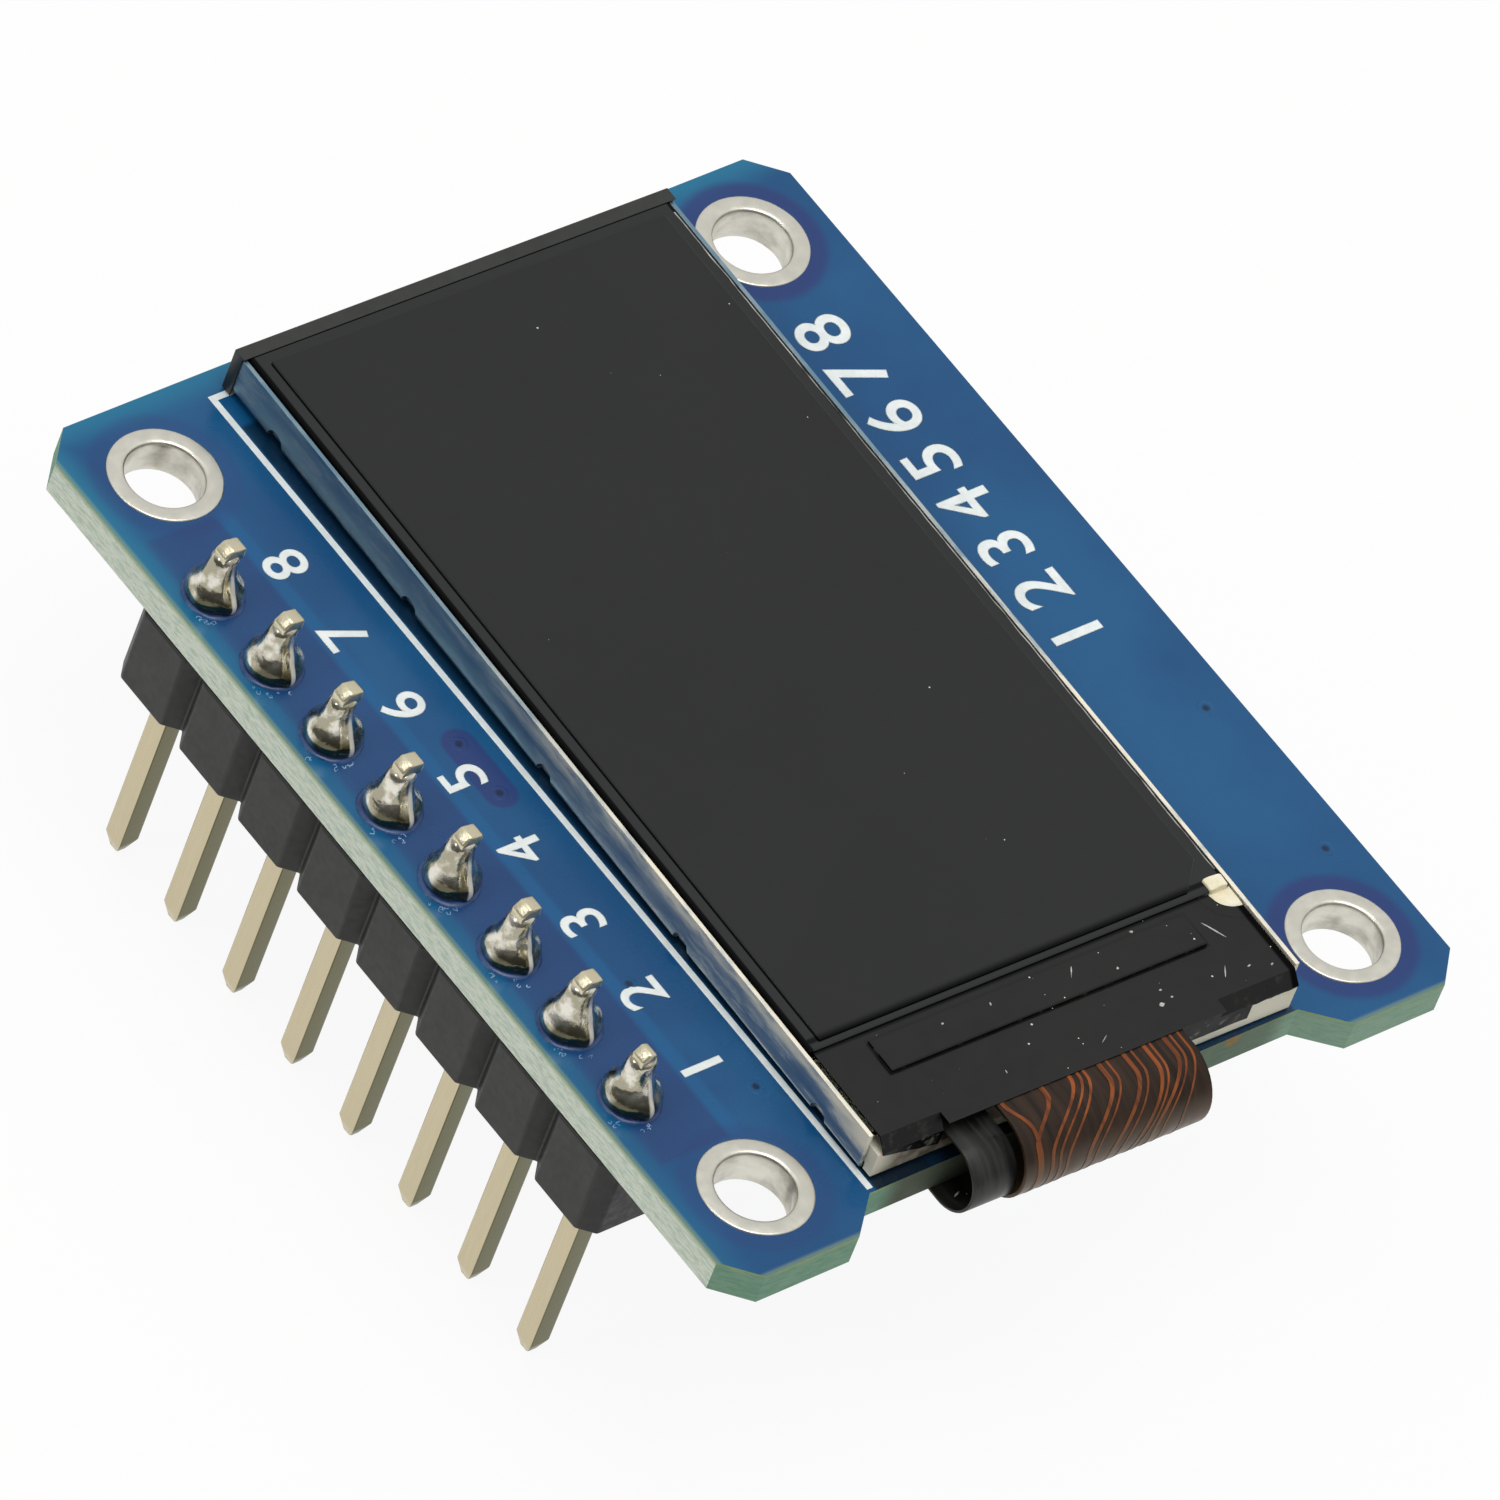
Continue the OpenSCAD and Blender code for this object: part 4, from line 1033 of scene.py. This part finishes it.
def coveredVias(look):
    rings = []
    for side, level in look["levels"]:
        section = [(radius, side * height) for radius, height in look["rings"]]
        for viaX, viaY in look["places"]:
            at = Vector((viaX, viaY, level)) * mm
            rings.append(ringStack("via", look["sides"], at, section, closeTop=True))
    piece = joinAll(rings, "coveredVias")
    turnFaces(piece)
    smoothOff(piece)
    return piece


settle(coveredVias(viaSet), "boardMask", "board")


inkSet = {
    "top": 1.0, "under": 0.0, "thick": 0.012, "lineWidth": 0.19, "lineEdge": 0.03,
    "cornerAt": (-6.91, 14.17), "shortEnd": -6.24, "longEnd": -13.89, "numberX": -8.42,
    "numberSize": 1.75, "bold": 0.03, "line": 0.2, "corner": 0.32, "packageRoom": (1.1, 1.1),
    "chipRoom": (1.9, 1.3), "rowAt": (9.4, 4.04), "rowBody": "12345678", "rowSize": 2.2,
    "rowBold": 0.035, "rowSpace": 1.42,
}


def cornerLine(look):
    width = look["lineWidth"] * mm
    cornerX, cornerY = look["cornerAt"][0] * mm, look["cornerAt"][1] * mm
    piece = addShape(bpy.ops.mesh.primitive_plane_add, "cornerLine", size=width,
                     location=(cornerX, cornerY, look["top"] * mm))
    applyPlace(piece)
    openEdit(piece)
    # the right edge is drawn out to the short end, then the low edge of the corner to the long end
    chooseEdges(piece, lambda a, b: min(a.x, b.x) > cornerX)
    extrudeBy(look["shortEnd"] * mm - cornerX - width / 2, 0, 0)
    chooseEdges(piece, lambda a, b: max(a.y, b.y) < cornerY and max(a.x, b.x) < cornerX + width)
    extrudeBy(0, look["longEnd"] * mm - cornerY + width / 2, 0)
    faceOutwards()
    extrudeBy(0, 0, look["thick"] * mm)
    faceOutwards()
    closeEdit()
    bevelEdges(piece, look["lineEdge"], 2, 60)
    return piece


# an outline round the boxes of some nodes, under the board
def partFrame(nodeNames, room, look):
    boxes = [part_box(name) for name in nodeNames]
    middle = (boxes[0][0] + boxes[0][1]) / 2
    spanX = max(high.x for low, high in boxes) - min(low.x for low, high in boxes)
    spanY = max(high.y for low, high in boxes) - min(low.y for low, high in boxes)
    piece = addShape(bpy.ops.mesh.primitive_plane_add, "partFrame", size=1.0,
                     location=(middle.x, middle.y, look["under"] * mm))
    piece.scale = (spanX + room[0] * mm, spanY + room[1] * mm, 1.0)
    applyPlace(piece)
    openEdit(piece)
    bpy.ops.mesh.bevel(offset=look["corner"] * mm, segments=5, affect="VERTICES")
    bpy.ops.mesh.select_all(action="SELECT")
    bpy.ops.mesh.inset(thickness=look["line"] * mm)
    bpy.ops.mesh.delete(type="FACE")
    bpy.ops.mesh.select_all(action="SELECT")
    extrudeBy(0, 0, -look["thick"] * mm)
    faceOutwards()
    closeEdit()
    return piece


def partFrames(look):
    frames = [partFrame(names, look["packageRoom"], look)
              for names in (("regulator_body", "regulator_leads"), ("transistor_body", "transistor_leads"))]
    frames += [partFrame([name], look["chipRoom"], look) for name in ("chip_resistors", "chip_capacitors")]
    return joinAll(frames, "partFrames")


def printedNumber(body, at, flip, size, bold, space, look):
    turn = (math.radians(flip), 0, math.radians(90))
    mark = addShape(bpy.ops.object.text_add, "printedNumber", location=at, rotation=turn)
    setAll(mark.data, body=body, size=size, align_x="CENTER", align_y="CENTER", bevel_depth=bold,
           bevel_resolution=0, space_character=space)
    bpy.ops.object.convert(target="MESH")
    mark = bpy.context.object
    # the bevel makes the strokes bold, and then lies flat
    mark.scale = (mm, mm, look["thick"] / 2 / bold * mm)
    applyPlace(mark)
    return mark


def pinNumbers(look):
    marks = []
    for i in range(1, pinCount + 1):
        low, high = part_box("header_pin_%d" % i)
        for level, flip in ((look["top"] + look["thick"] / 2, 0), (look["under"] - look["thick"] / 2, 180)):
            at = Vector((look["numberX"] * mm, (low.y + high.y) / 2, level * mm))
            marks.append(printedNumber(str(i), at, flip, look["numberSize"], look["bold"], 1.0, look))
    return joinAll(marks, "pinNumbers")


# a plain row of figures beside the display
def figureRow(look):
    at = Vector((*look["rowAt"], look["top"] + look["thick"] / 2)) * mm
    row = printedNumber(look["rowBody"], at, 0, look["rowSize"], look["rowBold"], look["rowSpace"], look)
    row.name = "figureRow"
    spots = [point.co for point in row.data.vertices]
    row.location.x = at.x - (min(p.x for p in spots) + max(p.x for p in spots)) / 2
    row.location.y = at.y - (min(p.y for p in spots) + max(p.y for p in spots)) / 2
    applyPlace(row)
    return row


for mark in (cornerLine(inkSet), figureRow(inkSet), pinNumbers(inkSet), partFrames(inkSet)):
    settle(mark, "printInk", "board")
print("vias and printed marks laid")


# node, piece, edge, finish and slot
softPieces = [
    ("steel_tray", "steelTray", "tray", "traySteel", "tray_steel"),
    ("light_frame", "lightFrame", "frame", "framePlastic", "white_plastic"),
    ("pixel_glass", "pixelGlass", "glass", "panelGlass", "panel_glass"),
    ("colour_glass", "colourGlass", "glassTop", "darkGlass", "panel_glass"),
    ("front_polariser", "frontPolariser", "screen", "screenFilm", "polariser"),
    ("end_tape", "endTape", "endTape", "endTape", "black_tape"),
    ("flex_tail", "flexTail", "flex", "flexFilm", "flex_film"),
    ("lamp_flex", "lampTail", "flex", "lampFlex", "flex_film"),
    ("regulator_body", "regulatorBody", "part", "package", "package"),
    ("transistor_body", "transistorBody", "part", "package", "package"),
    ("regulator_leads", "regulatorLeads", "lead", "tin", "tinned"),
    ("transistor_leads", "transistorLeads", "lead", "tin", "tinned"),
    ("chip_resistors", "chipResistors", "lead", "resistorBody", "resistor"),
    ("chip_capacitors", "chipCapacitors", "part", "capacitorBody", "capacitor"),
    ("chip_part_ends", "chipPartEnds", "part", "tin", "tinned"),
    ("part_solder", "partSolder", "part", "solderMetal", "solder"),
    ("flex_solder", "flexSolder", "part", "solderMetal", "solder"),
]
for nodeName, pieceName, edge, finishName, slotName in softPieces:
    settle(softCopy(nodeName, pieceName, edgeSet[edge]), finishName, slotName, nodeName)


# the tape over the ledge, with the low edges of its flaps torn
tearSet = {
    "below": 2.26, "longer": 0.3, "cuts": 9, "amount": 0.07, "perMm": 3.2, "seed": 6,
}


def tornTape(look):
    tape = copyNode("ledge_tape", "ledgeTape")
    below = look["below"] * mm
    openEdit(tape)
    chooseEdges(tape, lambda a, b: max(a.z, b.z) < below and abs(a.x - b.x) > look["longer"] * mm)
    bpy.ops.mesh.subdivide(number_cuts=look["cuts"])
    closeEdit()
    shift = Vector((look["seed"], 0, 0))
    for point in tape.data.vertices:
        if point.co.z < below:
            push = noise.noise(point.co * 1000 * look["perMm"] + shift)
            point.co.z += abs(push) * look["amount"] * mm
    smoothOff(tape, 30)
    return tape


settle(tornTape(tearSet), "blackTape", "black_tape", "ledge_tape")


# conductive paste on the corner of the glass, its smear on the ledge, and the tape's torn corner beside it
pasteSet = {
    "middle": (6.38, -10.68, 1.375), "size": (0.58, 0.4, 0.27), "lumps": (0.05, 2.6, 5), "cuts": 3,
    "corner": (6.685, -10.86), "ledge": 1.24, "sides": 40, "smearLumps": (0.05, 2.2, 9),
    "rightEnd": 6.76, "smear": [(0.64, 0.0), (0.61, 0.04), (0.5, 0.06), (0.3, 0.065)], "tapeLow": 1.34,
    "torn": [(0.66, 0.0), (0.66, 0.04), (1.02, 0.043), (1.02, 0.0)], "tapeRight": 6.685,
    "tapeFar": -10.88, "tornLumps": (0.03, 3.0, 12),
}


def cutAway(piece, at, towards):
    openEdit(piece)
    bpy.ops.mesh.bisect(plane_co=at, plane_no=towards, clear_outer=True, threshold=1e-7)
    closeEdit()


def pasteDab(look):
    dab = addShape(bpy.ops.mesh.primitive_cube_add, "pasteDab", size=1.0,
                   location=Vector(look["middle"]) * mm)
    dab.scale = Vector(look["size"]) * mm
    applyPlace(dab)
    openEdit(dab)
    bpy.ops.mesh.subdivide(number_cuts=look["cuts"])
    closeEdit()
    roughen(dab, *look["lumps"])
    subdivide(dab, 2)
    at = Vector((*look["corner"], look["ledge"])) * mm
    smear = ringStack("pasteSmear", look["sides"], at, look["smear"], closeTop=True)
    roughen(smear, *look["smearLumps"], flat=True)
    cutAway(smear, (look["rightEnd"] * mm, 0, 0), (1, 0, 0))
    dab = joinAll([dab, smear], "groundPaste")
    toPanel(dab)
    smoothOff(dab)
    return dab


def tornCorner(look):
    at = Vector((*look["corner"], look["tapeLow"])) * mm
    patch = ringStack("tornCorner", look["sides"], at, look["torn"])
    roughen(patch, *look["tornLumps"], flat=True)
    cutAway(patch, (look["tapeRight"] * mm, 0, 0), (1, 0, 0))
    cutAway(patch, (0, look["tapeFar"] * mm, 0), (0, 1, 0))
    turnFaces(patch)
    toPanel(patch)
    return patch


settle(pasteDab(pasteSet), "paste", "paste", "ground_paste")
settle(tornCorner(pasteSet), "blackTape", "black_tape")


# the chipped edge of the upper glass, seen as a broken line of painted glints
edgeLineSet = {
    "x": 6.66, "lowY": -10.55, "highY": 13.3, "z": 1.422, "step": 0.4, "wander": 0.008, "width": 0.035,
    "thick": 0.02, "lumps": (0.01, 3.0), "seed": 8,
}


def glassEdgeLine(look):
    random.seed(look["seed"])
    places = []
    count = int((look["highY"] - look["lowY"]) / look["step"])
    for k in range(count + 1):
        x = look["x"] + random.uniform(-look["wander"], look["wander"])
        places.append(panelPoint(x, look["highY"] - k * look["step"], look["z"]))
    line = ribbon("glassEdgeLine", places, look["width"], look["thick"])
    roughen(line, *look["lumps"], look["seed"])
    return line


settle(glassEdgeLine(edgeLineSet), "edgeGlints", "panel_glass")


# dust and hairs: place, then length, width and turn, on the tape, over the chip and in the lamp's tail
dustSet = {
    "sides": 10, "section": [(0.5, 0.0), (0.4, 0.012)], "lumps": (0.25, 2.0), "tapeTop": 1.38,
    "tailZ": -0.02,
    "tapeMarks": [
        (3.4, -11.05, 0.1, 0.08, 0), (5.46, -11.9, 0.7, 0.05, -64), (2.7, -13.3, 0.15, 0.12, 20),
        (2.95, -12.9, 0.08, 0.07, 0), (3.1, -13.2, 0.08, 0.06, 0), (0.6, -13.6, 0.3, 0.03, 30),
        (4.9, -13.1, 0.4, 0.03, 55), (5.6, -13.2, 0.12, 0.05, 20), (-2.4, -13.4, 0.12, 0.03, 80),
        (6.2, -13.4, 0.1, 0.06, 30),
    ],
    "chipMarks": [
        (1.1, -11.5, 0.36, 0.03, 53), (2.3, -11.9, 0.1, 0.07, 40), (-1.5, -11.5, 0.1, 0.05, 70),
        (-3.05, -11.5, 0.09, 0.06, 10),
    ],
    "tailMarks": [(-4.2, -14.45, 0.24, 0.05, 20), (-3.95, -14.62, 0.2, 0.04, 75)],
}


def dustMark(at, length, width, turn, look):
    mark = ringStack("dustMark", look["sides"], origin, look["section"], closeTop=True)
    roughen(mark, *look["lumps"], at.x / mm + at.y / mm, flat=True)
    turnFaces(mark)
    mark.scale = (length, width, 1.0)
    mark.rotation_euler.z = math.radians(turn)
    mark.location = at
    applyPlace(mark)
    return mark


def dustMarks(look):
    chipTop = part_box("ledge_tape")[1].z / mm - panelSet["place"][2]
    marks = [dustMark(panelPoint(x, y, look["tapeTop"]), *size, look) for x, y, *size in look["tapeMarks"]]
    marks += [dustMark(panelPoint(x, y, chipTop), *size, look) for x, y, *size in look["chipMarks"]]
    marks += [dustMark(Vector((x, y, look["tailZ"])) * mm, *size, look)
              for x, y, *size in look["tailMarks"]]
    return joinAll(marks, "dustMarks")


settle(dustMarks(dustSet), "dust", "black_tape")


# copper under the flex's film: across at the tape, run to the bend, across and run after it, and width
traceSet = {
    "lift": 0.004, "thick": 0.008, "step": 0.1, "end": 4.2, "edgeY": -14.1, "foldY": -14.64,
    "foldZ": 0.10, "radius": 1.24,
    "routes": [
        (-3.1, 0.1, -2.75, 1.1, 0.12), (-1.85, 0.3, -2.8, 1.5, 0.15), (-0.95, 0.1, -2.4, 1.9, 0.12),
        (-0.7, 0.15, -2.15, 2.0, 0.09), (-0.5, 0.2, -1.9, 2.2, 0.09), (0.0, 0.5, -1.2, 2.3, 0.14),
        (0.25, 0.5, -0.95, 2.4, 0.07), (0.8, 0.6, -0.4, 2.6, 0.14), (1.05, 0.6, -0.1, 2.7, 0.07),
        (1.45, 0.7, 0.35, 2.8, 0.12), (1.65, 0.7, 0.55, 2.8, 0.07), (2.1, 0.6, 0.9, 2.5, 0.13),
        (2.3, 0.6, 1.2, 2.5, 0.07), (2.55, 0.6, 1.8, 2.4, 0.07),
    ],
}


# a place on the flex's outer face: across, and along from the tape's edge round the fold
def roundFold(x, run, look):
    flat = look["edgeY"] - look["foldY"]
    reach = look["radius"] + look["lift"]
    if run <= flat:
        return panelPoint(x, look["edgeY"] - run, look["foldZ"] + reach)
    angle = (run - flat) / look["radius"]
    if angle <= math.pi:
        return panelPoint(x, look["foldY"] - reach * math.sin(angle),
                          look["foldZ"] + reach * math.cos(angle))
    return panelPoint(x, look["foldY"] + (angle - math.pi) * look["radius"], look["foldZ"] - reach)


def copperRun(route, look):
    fromX, bendStart, toX, bendEnd, width = route
    places = []
    for k in range(int(look["end"] / look["step"]) + 1):
        run = k * look["step"]
        share = min(1.0, max(0.0, (run - bendStart) / (bendEnd - bendStart)))
        share = share * share * (3 - 2 * share)
        places.append(roundFold(fromX + (toX - fromX) * share, run, look))
    return ribbon("copperRun", places, width, look["thick"])


flexTraces = joinAll([copperRun(route, traceSet) for route in traceSet["routes"]], "flexTraces")
smoothOff(flexTraces, 50)
settle(flexTraces, "copperRun", "flex_film")
print("display panel dressed")


keptNodes = {
    "pin_hole_plating": "tin", "foam_tape": "foam", "reflector_film": "whiteFilm",
    "light_guide": "guideAcrylic", "diffuser_film": "whiteFilm", "lower_prism_film": "prismFilm",
    "upper_prism_film": "prismFilm", "backlight_lamp": "lampFace", "rim_tape": "blackTape",
    "rear_polariser": "screenFilm", "driver_chip": "silicon", "flex_pads": "tin", "part_pads": "tin",
}
for nodeName, finishName in keptNodes.items():
    for materialSlot in nodes[nodeName].material_slots:
        materialSlot.material = finishes[finishName]
print("kept nodes finished:", len(keptNodes))
